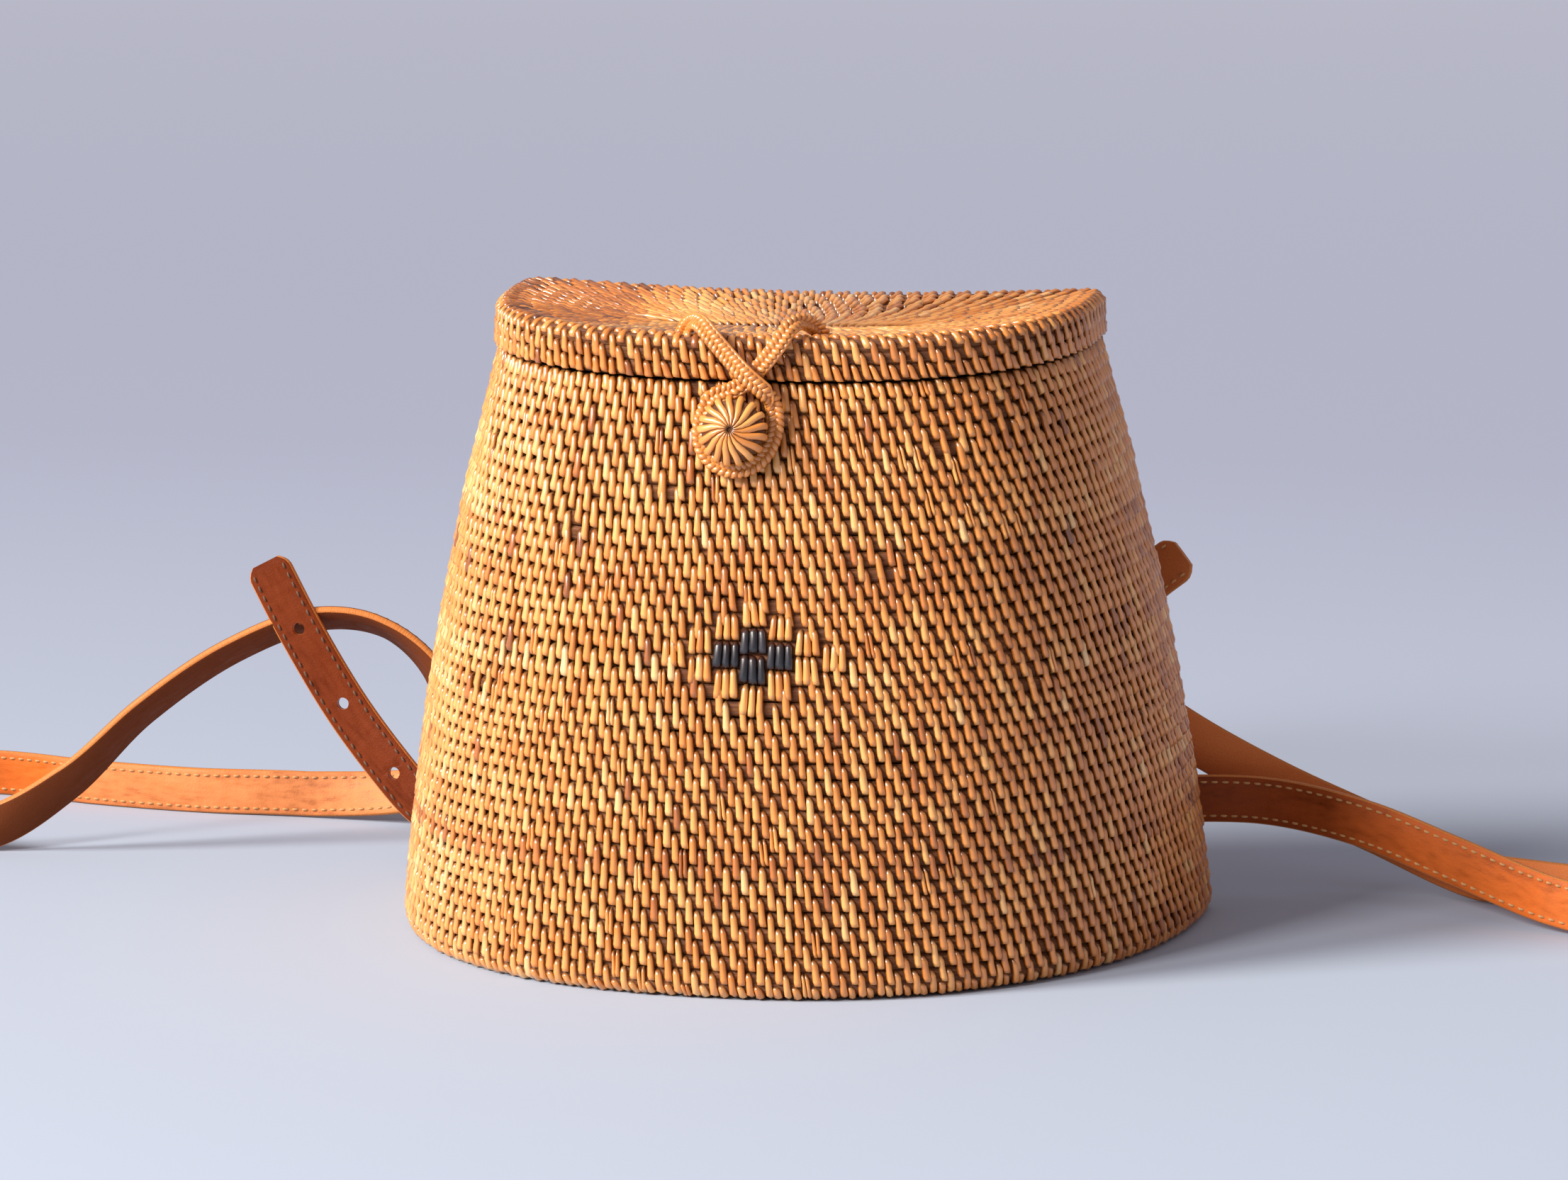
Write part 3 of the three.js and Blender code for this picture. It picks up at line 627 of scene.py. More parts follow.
def oneStitch(q, reach, s, x, tint=None, wide=1.0):
    t = stripTints
    if tint is None:
        # painted shade: the tint falls towards the right, the side turned away from the light
        tint = dice.normal(t["middle"] - t["rightShade"] * x, t["spread"])
        luck = dice.uniform()
        tint = 0.3 + 0.1 * luck if luck < t["brownShare"] else tint
        tint = 0.82 if luck > 1 - t["paleShare"] else tint
    lean = t["lean"] + t["leanRight"] * x / 100 + dice.normal(0, strip["leanSpread"])
    return (q + dice.normal(0, strip["rowSpread"]), reach, s, lean,
            strip["wide"] * wide * dice.uniform(*strip["wideRange"]),
            strip["tall"] * dice.uniform(*strip["tallRange"]), float(np.clip(tint, 0.05, 0.98)))


motif = {
    "across": 3.6, "row": 23, "step": 7.9, "stripStep": 2.3, "edge": 5.4, "tall": 1.18,
    "splay": 0.2, "splaySpread": 0.45, "fan": 0.45, "tintSpread": 0.08,
    # tint, strip width and spacing
    "looks": {"light": (0.68, 0.98, 1), "black": (0.42, 1.14, 1.12)},
    "light": {3: [0], 2: [-1, 1], 1: [-2, 2], 0: [-3, 3], -1: [-2, 2], -2: [-1, 1], -3: [0]},
    "black": {1: [0], 0: [-1, 1], -1: [0]},
}


# share of the way round at which the front is x from the middle
def frontPlace(q, x):
    ring = wallSkin.grid[int(q * wallSkin.finer)]
    front = np.where(ring[:, 1] < 0)[0]
    return float(np.interp(x, ring[front, 0], front)) / ringSteps


def wallStitches():
    rows, w, t = wallWeave["rows"], wallWeave, stripTints
    levels = np.arange(0, rows + 1)
    k = levels / rows
    gaps = w["step"] + (w["stepLow"] - w["step"]) * (1 - k) ** 2 + (w["stepHigh"] - w["step"]) * k ** 5
    straw, black = [], []
    for b, places in zip(levels, staggered(wallSkin, levels, gaps)):
        q, reach = float(b), 1.0
        if b == 0:
            q = reach = w["lowReach"]
        spots, _, _ = wallSkin.spot(np.full(len(places), q), places)
        if b == rows:  # the top row ends close under the lid
            q, reach = rows - 0.5, w["topReach"]
        rowTint = dice.normal(0, t["rowSpread"])
        inMotif = abs(b - motif["row"]) <= 3
        far = max(motif["light"][b - motif["row"]]) * motif["step"] + motif["edge"] if inMotif else 0
        for s, spot in zip(places, spots):
            x, y = spot[0], spot[1]
            if inMotif and y < 0 and abs(x - motif["across"]) < far:
                continue
            s += dice.normal(0, w["placeSpread"]) / wallSkin.lengthAt(q)
            tint = None
            if b == t["brownRow"]:
                tint = dice.normal(t["brownRowTint"], t["brownRowSpread"])
            split = dice.uniform() < t["splitShare"]
            for part in (-t["splitGap"], t["splitGap"]) if split else (0,):
                made = oneStitch(q, reach, s + part / wallSkin.lengthAt(q), x, tint,
                                 t["splitWide"] if split else 1)
                straw.append(made[:6] + (made[6] + rowTint,))
        if not inMotif:
            continue
        for kind, store in (("light", straw), ("black", black)):
            tint, wide, spacing = motif["looks"][kind]
            for group in motif[kind].get(b - motif["row"], []):
                middle = motif["across"] + group * motif["step"]
                splay = dice.normal(motif["splay"], motif["splaySpread"])
                for i in (-1, 0, 1):
                    x = middle + i * motif["stripStep"] * spacing
                    made = oneStitch(q, reach, frontPlace(q, x), x,
                                     dice.normal(tint, motif["tintSpread"]), wide)
                    slant = splay + motif["fan"] * i + dice.normal(0, strip["leanSpread"])
                    store.append(made[:3] + (slant, made[4], made[5] * motif["tall"], made[6]))
    return straw, black


def buildWall():
    straw, black = wallStitches()
    core = rodPiece("basket_core_rods", "body", wallSkin, wallWeave["rows"], rodShape["under"])
    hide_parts("basket")
    third = len(straw) // 3 + 1
    for i in range(3):
        stripPiece(f"basket_strips_{i + 1}", "body", wallSkin, straw[i * third:(i + 1) * third])
    inner = [(*made[:3], -made[3], *made[4:6], made[6] - insideStrip["darker"]) for made in straw]
    stripPiece("basket_strips_inside", "body", wallSkin, inner, insideStrip,
               2 * rodShape["depth"] + rodShape["under"])
    stripPiece("basket_motif_black", "body", wallSkin, black, look=stripBlack)
    print("basket wall:", len(straw), "strips")


def buildBase():
    rows, w = baseWeave["rows"], baseWeave
    levels = np.arange(1, rows + 1)
    stitches = []
    for b, places in zip(levels, staggered(baseSkin, levels, np.full(rows, w["step"]))):
        q, reach = (b - 0.5, 0.5) if b == rows else (float(b), w["reach"])
        stitches += [oneStitch(q, reach, s, 0) for s in places]
    under = [(*made[:5], insideStrip["tall"], made[6]) for made in stitches]
    flatter = dict(insideStrip, off=[-0.9, -0.1, -0.2, -0.1, -0.9])
    stripPiece("base_strips", "body", baseSkin, under, flatter)
    stripPiece("base_strips_inside", "body", baseSkin, under, insideStrip, 2 * rodShape["depth"])
    rodPiece("base_core_rods", "body", baseSkin, rows, 0)
    print("base:", len(stitches), "strips")


def buildLid():
    c = lidShape
    levels = np.arange(0, c["rows"])
    gaps = np.where(levels < 4, c["stepSide"], c["stepTop"])
    stitches = []
    for b, places in zip(levels, staggered(lidSkin, levels, gaps)):
        q, reach = float(b), 1.0
        if b == 0:
            q, reach = 0.5, c["lowReach"]
        spots, _, _ = lidSkin.spot(np.full(len(places), q), places)
        for s, spot in zip(places, spots):
            s += dice.normal(0, c["placeSpread"]) / lidSkin.lengthAt(q)
            made = oneStitch(q, reach, s, spot[0])
            # the top is browner at its left end
            onTop = b > 3 and spot[1] > c["darkBack"]
            dark = c["darkest"] * np.clip((c["darkEnd"] - spot[0]) / c["darkRun"], 0, 1) if onTop else 0
            # painted light and shade: the top rows are tinted lighter and the side rows darker
            tint = made[6] - dark + c["topPaintedLight" if b > 4 else "sidePaintedShade"]
            lean = made[3] * (c["sideLean"] if b < 3 else 1)
            tall = made[5] * (c["edgeTall"] if 1 < b < 6 else 1)
            stitches.append(made[:3] + (lean, made[4] * c["narrow"], tall, max(tint, 0.08)))
    core = rodPiece("lid_core_rods", "lid", lidSkin, c["rows"], rodShape["under"])
    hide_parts("lid")
    stripPiece("lid_strips", "lid", lidSkin, stitches)
    stripPiece("lid_strips_inside", "lid", lidSkin, stitches, insideStrip,
               2 * rodShape["depth"] + rodShape["under"])
    print("lid:", len(stitches), "strips")


heart = {"lidHalf": 37, "lidRadius": 2.9, "baseHalf": 50, "baseRadius": 2.4, "baseHigh": 2.5, "wrap": 3.2,
         "steps": 40, "sides": 10, "turnSteps": 14, "stripTall": 0.6}


# the straight cane that a coil starts from, bound with strips
def buildHeart(name, body, half, y, heightAt, radius):
    depth, count, sides = rodShape["depth"], heart["steps"], heart["sides"]
    x = np.linspace(-half, half, count)
    path = np.column_stack([x, np.full(count, y), heightAt(x)])
    verts, faces = sweep(path, np.tile([0.0, 1, 0], (count, 1)), np.tile([0.0, 0, 1], (count, 1)),
                         roundSection(radius, depth, sides))
    pieceFrom(name + "_cane", verts, faces, body, rodStraw,
              {"strand": strandMarks(np.arange(sides) * 1.4, x[:, None], 77)})
    turn = np.linspace(0, 2 * math.pi, heart["turnSteps"], endpoint=False)
    ray = np.column_stack([np.zeros(len(turn)), np.cos(turn), np.sin(turn)])
    section = [(a * strip["wide"] / 2, b * heart["stripTall"]) for a, b in strip["section"]]
    parts = []
    for at in np.arange(-half + 2, half - 1, heart["wrap"]):
        ring = np.array([at, y, float(heightAt(at))]) + ray * [0, radius - 0.1, depth - 0.1]
        parts.append(sweep(ring, np.tile([1.0, 0, 0], (len(turn), 1)), ray, section, True))
    verts, faces = joined(parts)
    count = len(verts)
    along = np.arange(count).reshape(-1, 5) * 0.3
    pieceFrom(name + "_strips", verts, faces, body, stripStraw,
              {"strand": strandMarks(np.arange(5) * 0.5, along, 0), "tint": np.full(count, 0.6),
               "tuckAndShade": np.full(count, 0.1)})


def lidHeart(x):
    c = lidShape
    return seamHeight(x) + c["height"] - c["dish"] - rodShape["under"] - rodShape["depth"]


def baseHeart(x):
    return np.full(np.shape(x), heart["baseHigh"])


buildWall()
buildBase()
buildLid()
lidMiddle = seamSize["back"] - (seamSize["depth"] + lidShape["overhang"]) / 2
buildHeart("lid_heart", "lid", heart["lidHalf"], lidMiddle, lidHeart, heart["lidRadius"])
buildHeart("base_heart", "body", heart["baseHalf"], 0.0, baseHeart, heart["baseRadius"])


# button and closure loop

button = {"across": -2.9, "drop": 17.6, "neck": 7.4, "head": 11, "rim": 4, "dome": 2.6, "strips": 17,
          "gap": 0.3, "stripWide": 2.15, "core": 0.88}
cord = {"radius": 2.75, "strandWide": 0.92, "strandThick": 0.72, "weaveWide": 1.72, "weaveThick": 0.8,
        "turn": 5.1, "edge": 0.6}
buttonHeight = basketShape["height"] - button["drop"]


def wallNormal(x, z):
    step = 4
    dx = (frontWall(x + step, z) - frontWall(x - step, z)) / (2 * step)
    dz = (frontWall(x, z + step) - frontWall(x, z - step)) / (2 * step)
    return unit(np.array([dx, -1, dz]))


def buildButton():
    b = button
    out = wallNormal(b["across"], buttonHeight)
    right = unit(np.cross([0, 0, 1], -out))
    up = np.cross(right, out)
    up = up if up[2] > 0 else -up
    middle = np.array([b["across"], frontWall(b["across"], buttonHeight), buttonHeight])
    low = 2 * (b["gap"] + cord["radius"]) + b["gap"]
    head = b["head"] * b["core"]
    profile = [(0, b["gap"]), (b["neck"], b["gap"]), (b["neck"], low), (head - 1.6, low + 0.1),
               (head - 0.7, low + 0.9), (head - 0.5, low + b["rim"] / 2),
               (head - 0.8, low + b["rim"] - 0.5), (head - 2, low + b["rim"]),
               (head * 0.62, low + b["rim"] + b["dome"] * 0.6),
               (head * 0.3, low + b["rim"] + b["dome"] * 0.9), (0, low + b["rim"] + b["dome"])]
    sides = 48
    verts, strand = [], []
    for r, h in profile:
        for i in range(sides):
            t = 2 * math.pi * i / sides
            verts.append(middle + out * h + (right * math.cos(t) + up * math.sin(t)) * r)
            strand.append((r * t, r + h, 3))
    core = pieceFrom("button_core", verts, bands(len(profile), sides), "body", rodStraw,
                     {"strand": strand})
    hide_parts("button")
    # strips start at the middle and turn over the rim: radius and drop from the top
    rows = [(0.9, 0), (2.2, 0.12), (4.2, 0.5), (6.4, 1.2), (8.6, 2.2), (10.2, 2.75), (10.9, 3.8), (10.7, 5.6),
            (9.8, 6.8)]
    top = low + b["rim"] + b["dome"] - 0.2
    parts, strand, tints, tuckShades = [], [], [], []
    for i in range(b["strips"]):
        start = 2 * math.pi * (i + dice.uniform(-0.1, 0.1)) / b["strips"]
        path, normal, side = [], [], []
        for r, fall in rows:
            t = start + 0.42 * (1 - min(r / 9, 1))
            ray = right * math.cos(t) + up * math.sin(t)
            path.append(middle + out * (top - fall) + ray * r * b["core"])
            tip = min(max((r - 6) / 4.9, 0), 1) if fall < 4.2 else 1
            normal.append(unit(out * (1 - tip) + ray * tip))
            side.append(unit(np.cross(normal[-1], ray if tip < 0.9 else -out)))
        half = b["stripWide"] / 2 * dice.uniform(0.92, 1.06)
        room = [min(half, 0.49 * 2 * math.pi * r * b["core"] / b["strips"]) for r, _ in rows]
        section = [[(x * k, z * 0.95) for x, z in strip["section"]] for k in room]
        parts.append(sweep(path, side, normal, section))
        tints += [float(np.clip(dice.normal(0.68, 0.07), 0, 1))] * (5 * len(rows))
        for j in range(len(rows)):
            # painted shade at the strip ends, where they go in at the middle and under the rim
            tuckShades += [[1, 0.4, 0.1, 0, 0, 0, 0.1, 0.3, 1][j]] * 5
            strand += [(x * half, j * 1.7, i * 17.0) for x, _ in strip["section"]]
    verts, faces = joined(parts)
    pieceFrom("button_strips", verts, faces, "body", stripStraw,
              {"strand": strand, "tint": tints, "tuckAndShade": tuckShades})


# the cord's points from the button's middle: (across, up, out) in button radii, and for the
# turn round the neck (degrees, how wide, how far out)
loopStart = [(-1.909, 2.045, -1.091), (-1.818, 2.509, -0.955), (-1.509, 2.873, -0.545),
             (-1.091, 2.836, 0.091), (-0.764, 2.509, 0.418), (-0.273, 1.964, 0.618),
             (0.309, 1.382, 0.827), (0.782, 1, 0.691)]
loopTurn = [(38, 1.29, 0.15), (14, 1.13, 0.032), (-12, 1.03, 0), (-40, 1, 0), (-68, 1, 0), (-96, 1, 0),
            (-124, 1, 0), (-152, 1, 0), (-180, 1, 0), (-208, 1.02, 0), (-232, 1.15, 0)]
loopEnd = [(-0.055, 1.145, 0.277), (0.327, 1.455, 0.309), (0.727, 1.855, 0.418), (1.073, 2.309, 0.436),
           (1.327, 2.764, 0.236), (1.6, 3, -0.255), (2, 2.855, -0.727), (2.218, 2.455, -0.955),
           (2.255, 2, -1.091)]


def loopPoint(across, up, out):
    x, z = button["across"] + across, buttonHeight + up
    normal = wallNormal(x, min(z, basketShape["height"] - 4))
    return np.array([x, frontWall(x, z), z]) + normal * out, normal


def buildLoop():
    head = button["head"]
    rows = [loopPoint(a * head, u * head, o * head) for a, u, o in loopStart]
    for angle, wide, rise in loopTurn:
        r, t = (head - 0.35) * wide, math.radians(angle)
        rows.append(loopPoint(r * math.cos(t), r * math.sin(t), button["gap"] + cord["radius"] + rise * head))
    rows += [loopPoint(a * head, u * head, o * head) for a, u, o in loopEnd]
    path, share = smoothPath([r[0] for r in rows], 0.42)
    along = unit(np.gradient(path, axis=0))
    lift = squared(along, np.array([r[1] for r in rows]), share)
    wide = unit(np.cross(lift, along))
    reach = reachAlong(path)
    parts, strand, tints, tuckShades = [], [], [], []
    sides = 6
    for j in range(3):
        phase = 2 * math.pi * (reach / cord["turn"] + j / 3)
        line = path + wide * (cord["weaveWide"] * np.sin(phase))[:, None] \
            + lift * (cord["weaveThick"] * np.sin(2 * phase))[:, None]
        ahead = unit(np.gradient(line, axis=0))
        across = unit(np.cross(lift, ahead))
        off = unit(np.cross(ahead, across))
        parts.append(sweep(line, across, off, roundSection(cord["strandWide"], cord["strandThick"], sides)))
        angle = np.linspace(0, 2 * math.pi, sides, endpoint=False)
        strand.append(strandMarks(angle * 1.2, reach[:, None], j * 40))
        tints.append(np.full(len(line) * sides, 0.55 + 0.05 * j))
        # painted shade where each strand dips under the others
        tuckShades.append(np.repeat(0.1 + 0.7 * np.clip(-np.sin(2 * phase), 0, 1), sides))
    # the smooth edge strand swaps sides where the two ends cross
    swapping = np.interp(share, [7.0, 8.6], [1.0, -1.0])
    edge = path + wide * ((cord["radius"] - 0.4) * swapping)[:, None] \
        + lift * (1.1 * (1 - swapping ** 2))[:, None]
    parts.append(sweep(edge, wide, lift, roundSection(cord["edge"], cord["edge"], 8)))
    strand.append(strandMarks(np.arange(8) * 0.5, reach[:, None], 300))
    tints.append(np.full(len(edge) * 8, 0.6))
    tuckShades.append(np.full(len(edge) * 8, 0.1))
    verts, faces = joined(parts)
    marks = {"strand": np.vstack(strand), "tint": np.concatenate(tints), "tuckAndShade": np.concatenate(tuckShades)}
    loop = pieceFrom("closure_loop_plait", verts, faces, "lid", stripStraw, marks)
    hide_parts("closure_loop")


hinge = {"spread": 96, "radius": 6, "tube": 1.2, "wraps": 26}


def buildHinges():
    b = basketShape
    axis = np.array([0, b["baseDepth"] / 2 - b["backLean"], b["height"] - b["seamDip"]])
    for name, side in (("left", -1), ("right", 1)):
        middle = axis + [side * hinge["spread"] / 2, 0, 0]
        steps = hinge["wraps"] * 5
        t = np.linspace(0, 2 * math.pi, steps, endpoint=False)
        ray = np.stack([np.zeros(steps), np.cos(t), np.sin(t)], 1)
        rib = 0.82 + 0.18 * np.abs(np.sin(t * hinge["wraps"] / 2))
        section = roundSection(1, 1, 8)[None] * (hinge["tube"] * rib)[:, None, None]
        across = np.tile([1.0, 0, 0], (steps, 1))
        verts, faces = sweep(middle + ray * hinge["radius"], across, ray, section, True)
        # painted shade: the wound strip is darkened in the grooves between its wraps
        ring = pieceFrom(f"hinge_ring_{name}_wound", verts, faces, "body", stripStraw,
                         {"strand": strandMarks(np.arange(8), t[:, None] * 6, 0),
                          "tint": np.full(len(verts), 0.5),
                          "tuckAndShade": np.repeat(1.0 - np.abs(np.sin(t * hinge["wraps"] / 2)), 8)})
        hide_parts(f"hinge_ring_{name}")


buildButton()
buildLoop()
buildHinges()
print("button, loop and hinge rings ready")


# leather straps

strap = {
    "wide": 15, "thick": 2.6, "tip": 4.5, "hole": 2, "holePitch": 28, "firstHole": 24, "holes": 4,
    "seam": 2.1, "stitch": 3.4, "finest": 1.3, "edgeRound": 0.7, "tipSlim": 0.38, "wrinkle": 0.16,
    "endSeam": 150, "layerGap": 0.15,
    # how dark the leather is, by row of the route: partly how it is dyed, partly painted shade, darker where
    # the straps run close to the bag, on the raised arc and on the left tail
    "dyeAndShade": {"left": [(0, 0.6), (3, 0.12), (11, 0.17), (14, 0.9), (17, 1.0), (44, 1.0)],
            "right": [(0, 0.5), (3, 0.36), (9, 0.36), (13, 0.2), (17, 0.28), (19, 0.55),
                      (21, 0.85), (30, 0.8), (36, 0.4), (40, 0.55)]},
}
patch = {"wide": 22, "high": 36, "thick": 2.2, "spread": 76, "drop": 31.5, "gap": 0.3, "stitch": 3.0,
         "round": 4, "seam": 1.9, "dyeAndShade": 0.8,
         "sewn": (14, 2, -11)}  # where the strap lies on it, up from its middle
tab = {"long": 20, "thick": 2.2, "round": 2, "edge": 0.3}
ringWire = {"wire": 1.5, "span": 9.5, "corner": 2, "gap": 0.3, "play": 0.4, "slack": 0.1}
buckle = {"long": 9, "bar": 2, "reach": 22, "gap": 0.3, "corner": 1.6, "innerCorner": 0.5}
# one stitch along its length: how far it rises and how fat it is
threadStitch = {"half": 0.36, "radius": 0.42, "rise": [-0.35, 0.1, 0.2, 0.1, -0.35],
                "fat": [0.5, 0.95, 1, 0.95, 0.5]}
fittings = {
    "left": {"side": -1, "out": 0.752, "up": 0.08, "tilt": 5, "grain": -1},
    "right": {"side": 1, "out": 0.576, "up": 0.117, "tilt": 17, "grain": -1},
}
# rows are (side, behind, up, wide): shares of the base's half width and half depth and of the height
strapRoutes = {
    "left": [
        (-0.31, 1.04, 0.66, (-1, 0, 0.1)), (-0.36, 1.16, 0.49, (-0.9, 0.1, 0.35)),
        (-0.48, 1.36, 0.31, (-0.7, 0.35, 0.6)), (-0.7, 1.58, 0.18, (-0.3, 0.5, 0.8)),
        (-0.96, 1.78, 0.11, (0, 0.55, 0.8)), (-1.22, 1.92, 0.06, (0, 0.5, 0.86)),
        (-1.5, 1.98, 0, (0, 0.2, 1)), (-1.8, 1.98, 0, (0, 0, 1)), (-2.1, 2.06, 0, (0, 0, 1)),
        (-2.4, 2.2, 0, (0, 0, 1)), (-2.66, 2.16, 0, (0, 0, 1)), (-2.8, 1.86, 0, (0, 0, 1)),
        (-2.74, 1.46, 0, (0, 0, 1)), (-2.5, 1.14, 0, (0, -0.1, 1)), (-2.22, 1.04, 0.02, (0, -0.3, 0.94)),
        (-2, 1.08, 0.13, (0.1, -0.5, 0.8)), (-1.8, 1.14, 0.26, (0.2, -0.62, 0.66)),
        (-1.57, 1.2, 0.37, (0.1, -0.74, 0.56)), (-1.34, 1.24, 0.43, (0, -0.82, 0.52)),
        (-1.17, 1.25, 0.415, (0.1, -0.84, 0.5)), (-1.04, 1.24, 0.34, (0.4, -0.72, 0.5)),
        (-0.98, 1.2, 0.22, (0.6, -0.4, 0.6)),
    ],
    "right": [
        (0.33, 1.04, 0.67, (1, 0, 0.15)), (0.46, 1.14, 0.53, (0.85, 0.05, 0.5)),
        (0.66, 1.26, 0.39, (0.65, 0.1, 0.7)), (0.88, 1.33, 0.275, (0.5, 0.1, 0.8)),
        (1.12, 1.35, 0.185, (0.4, 0.1, 0.9)), (1.38, 1.33, 0.11, (0.25, 0.1, 0.95)),
        (1.66, 1.2, 0.04, (0.1, 0.05, 1)), (1.94, 1.04, 0, (0, 0, 1)), (2.26, 0.98, 0, (0, 0, 1)),
        (2.54, 0.92, 0, (0, 0, 1)), (2.72, 0.72, 0, (0, 0, 1)), (2.62, 0.48, 0, (0, 0, 1)),
        (2.34, 0.43, 0, (0, 0, 1)), (2.06, 0.54, 0.01, (0, 0.05, 1)), (1.84, 0.7, 0.055, (0, 0.1, 1)),
        (1.6, 0.88, 0.1, (0, 0.1, 1)), (1.36, 1.05, 0.145, (0, 0.05, 1)), (1.1, 1.17, 0.168, (0, 0, 1)),
    ],
}
tailRoutes = {
    "left": [
        (-1.06, 1.08, 0.12, (0.45, 0, 0.9)), (-1.15, 1.11, 0.185, (0.68, 0, 0.73)),
        (-1.26, 1.14, 0.28, (0.8, 0, 0.6)), (-1.376, 1.15, 0.41, (0.83, 0, 0.56)),
        (-1.472, 1.16, 0.535, (0.83, 0, 0.56)),
    ],
    "right": [
        (0.84, 1.09, 0.26, (-0.75, 0, 0.6)), (0.84, 1.12, 0.36, (-0.98, 0, 0.1)),
        (0.78, 1.14, 0.46, (-1, 0.1, -0.05)), (0.79, 1.14, 0.53, (-0.9, 0.2, 0.4)),
        (0.9, 1.12, 0.6, (-0.6, 0.3, 0.75)),
    ],
}

wallLean = math.atan(basketShape["backLean"] / basketShape["height"])
wallUp = np.array([0, -math.sin(wallLean), math.cos(wallLean)])
wallOut = np.array([0, math.cos(wallLean), math.sin(wallLean)])
layerOff = strap["thick"] / 2 + strap["layerGap"]
turnRadius = ringWire["wire"] + ringWire["gap"] + strap["thick"] / 2 + ringWire["slack"]
ringOff = ringWire["gap"] + turnRadius + strap["thick"] / 2 + ringWire["play"]


def wallFrame(x, z, side, tilt):
    t = math.radians(tilt)
    u = np.array([side * math.cos(t), 0, 0]) + wallUp * math.sin(t)
    v = np.array([-side * math.sin(t), 0, 0]) + wallUp * math.cos(t)
    back = basketShape["baseDepth"] / 2 - basketShape["backLean"] * z / basketShape["height"]
    return {"middle": np.array([x, back, z]), "u": u, "v": v}


def onWall(f, u, v, w):
    return f["middle"] + f["u"] * u + f["v"] * v + wallOut * w


def lowerFrame(name):
    f = fittings[name]
    x = f["side"] * f["out"] * basketShape["baseWidth"] / 2
    return wallFrame(x, f["up"] * basketShape["height"], f["side"], f["tilt"])


def restHeight(wide):
    flat = math.hypot(wide[0], wide[1])
    return strap["wide"] / 2 * abs(wide[2]) + strap["thick"] / 2 * flat + 0.2


def routeRow(row):
    side, behind, up, wide = row
    wide = unit(np.array(wide, float))
    b = basketShape
    z = max(up * b["height"], restHeight(wide))
    return np.array([side * b["baseWidth"] / 2, behind * b["baseDepth"] / 2, z]), wide


# middle line, across and off directions of a strap, from the patch to the holed tip
def strapStations(name):
    f, frameLow = fittings[name], lowerFrame(name)
    top = wallFrame(f["side"] * patch["spread"] / 2, basketShape["height"] - patch["drop"], f["side"], 0)
    seat = 2 * patch["gap"] + patch["thick"] + strap["thick"] / 2
    rows = [(onWall(top, 0, v, seat), np.array([f["side"], 0, 0])) for v in patch["sewn"]]
    rows += [routeRow(row) for row in strapRoutes[name]]
    inBuckle = [buckle["long"] / 2 + 4, buckle["long"] / 2, 0, -buckle["long"] / 2]
    layer = lambda u, w: (onWall(frameLow, u, 0, ringOff + w), frameLow["v"])
    rows += [layer(buckle["reach"] + u, layerOff) for u in inBuckle]
    for t in np.linspace(0, math.pi, 7):
        rows.append(layer(ringWire["span"] - turnRadius * math.sin(t), turnRadius * math.cos(t)))
    rows += [layer(buckle["reach"] + u, -layerOff) for u in inBuckle[::-1]]
    rows += [routeRow(row) for row in tailRoutes[name]]
    path, share = smoothPath([r[0] for r in rows], strap["finest"])
    along = unit(np.gradient(path, axis=0))
    wide = squared(along, np.array([r[1] for r in rows]), share)
    for i, w in enumerate(wide):
        path[i, 2] = max(path[i, 2], restHeight(w))
    return path, wide, unit(np.cross(along, wide)), share


def strapSection(grain):
    x, y, r = strap["wide"] / 2, strap["thick"] / 2, strap["edgeRound"]
    seam = x - strap["seam"]
    top = [(-x, y - r), (-x + r, y), (-seam, y - 0.14), (-seam + 1, y + 0.06), (0, y + 0.12),
           (seam - 1, y + 0.06), (seam, y - 0.14), (x - r, y), (x, y - r)]
    under = [(x, -y + r), (x - r, -y), (0, -y), (-x + r, -y), (-x, -y + r)]
    section = np.array([(a, b * grain) for a, b in top + under])
    sides = np.array([0, 1, 1, 1, 1, 1, 1, 1, 0, 0, -1, -1, -1, 0])
    return section, sides


# stitches along a strap: one small bulged capsule each
def threadRow(path, wide, thick, across, off, reach, ends, gap):
    parts = []
    rise = np.array(threadStitch["rise"]) * np.sign(off)
    fat = np.array(threadStitch["fat"]) * threadStitch["radius"]
    section = roundSection(1, 1, 5)[None] * fat[:, None, None]
    for at in np.arange(*ends, gap):
        spots = at + np.linspace(-threadStitch["half"], threadStitch["half"], 5) * gap
        line, w, t = (pointsAt(part, reach, spots) for part in (path, wide, thick))
        parts.append(sweep(line + w * across + t * (off + rise)[:, None], w, t, section))
    return parts


def threadPiece(name, rows, colour):
    verts, faces = joined(rows)
    along = np.arange(len(verts)).reshape(-1, 5) * 0.1
    pieceFrom(name, verts, faces, "body", colour, {"strand": strandMarks(np.arange(5), along, 0)})


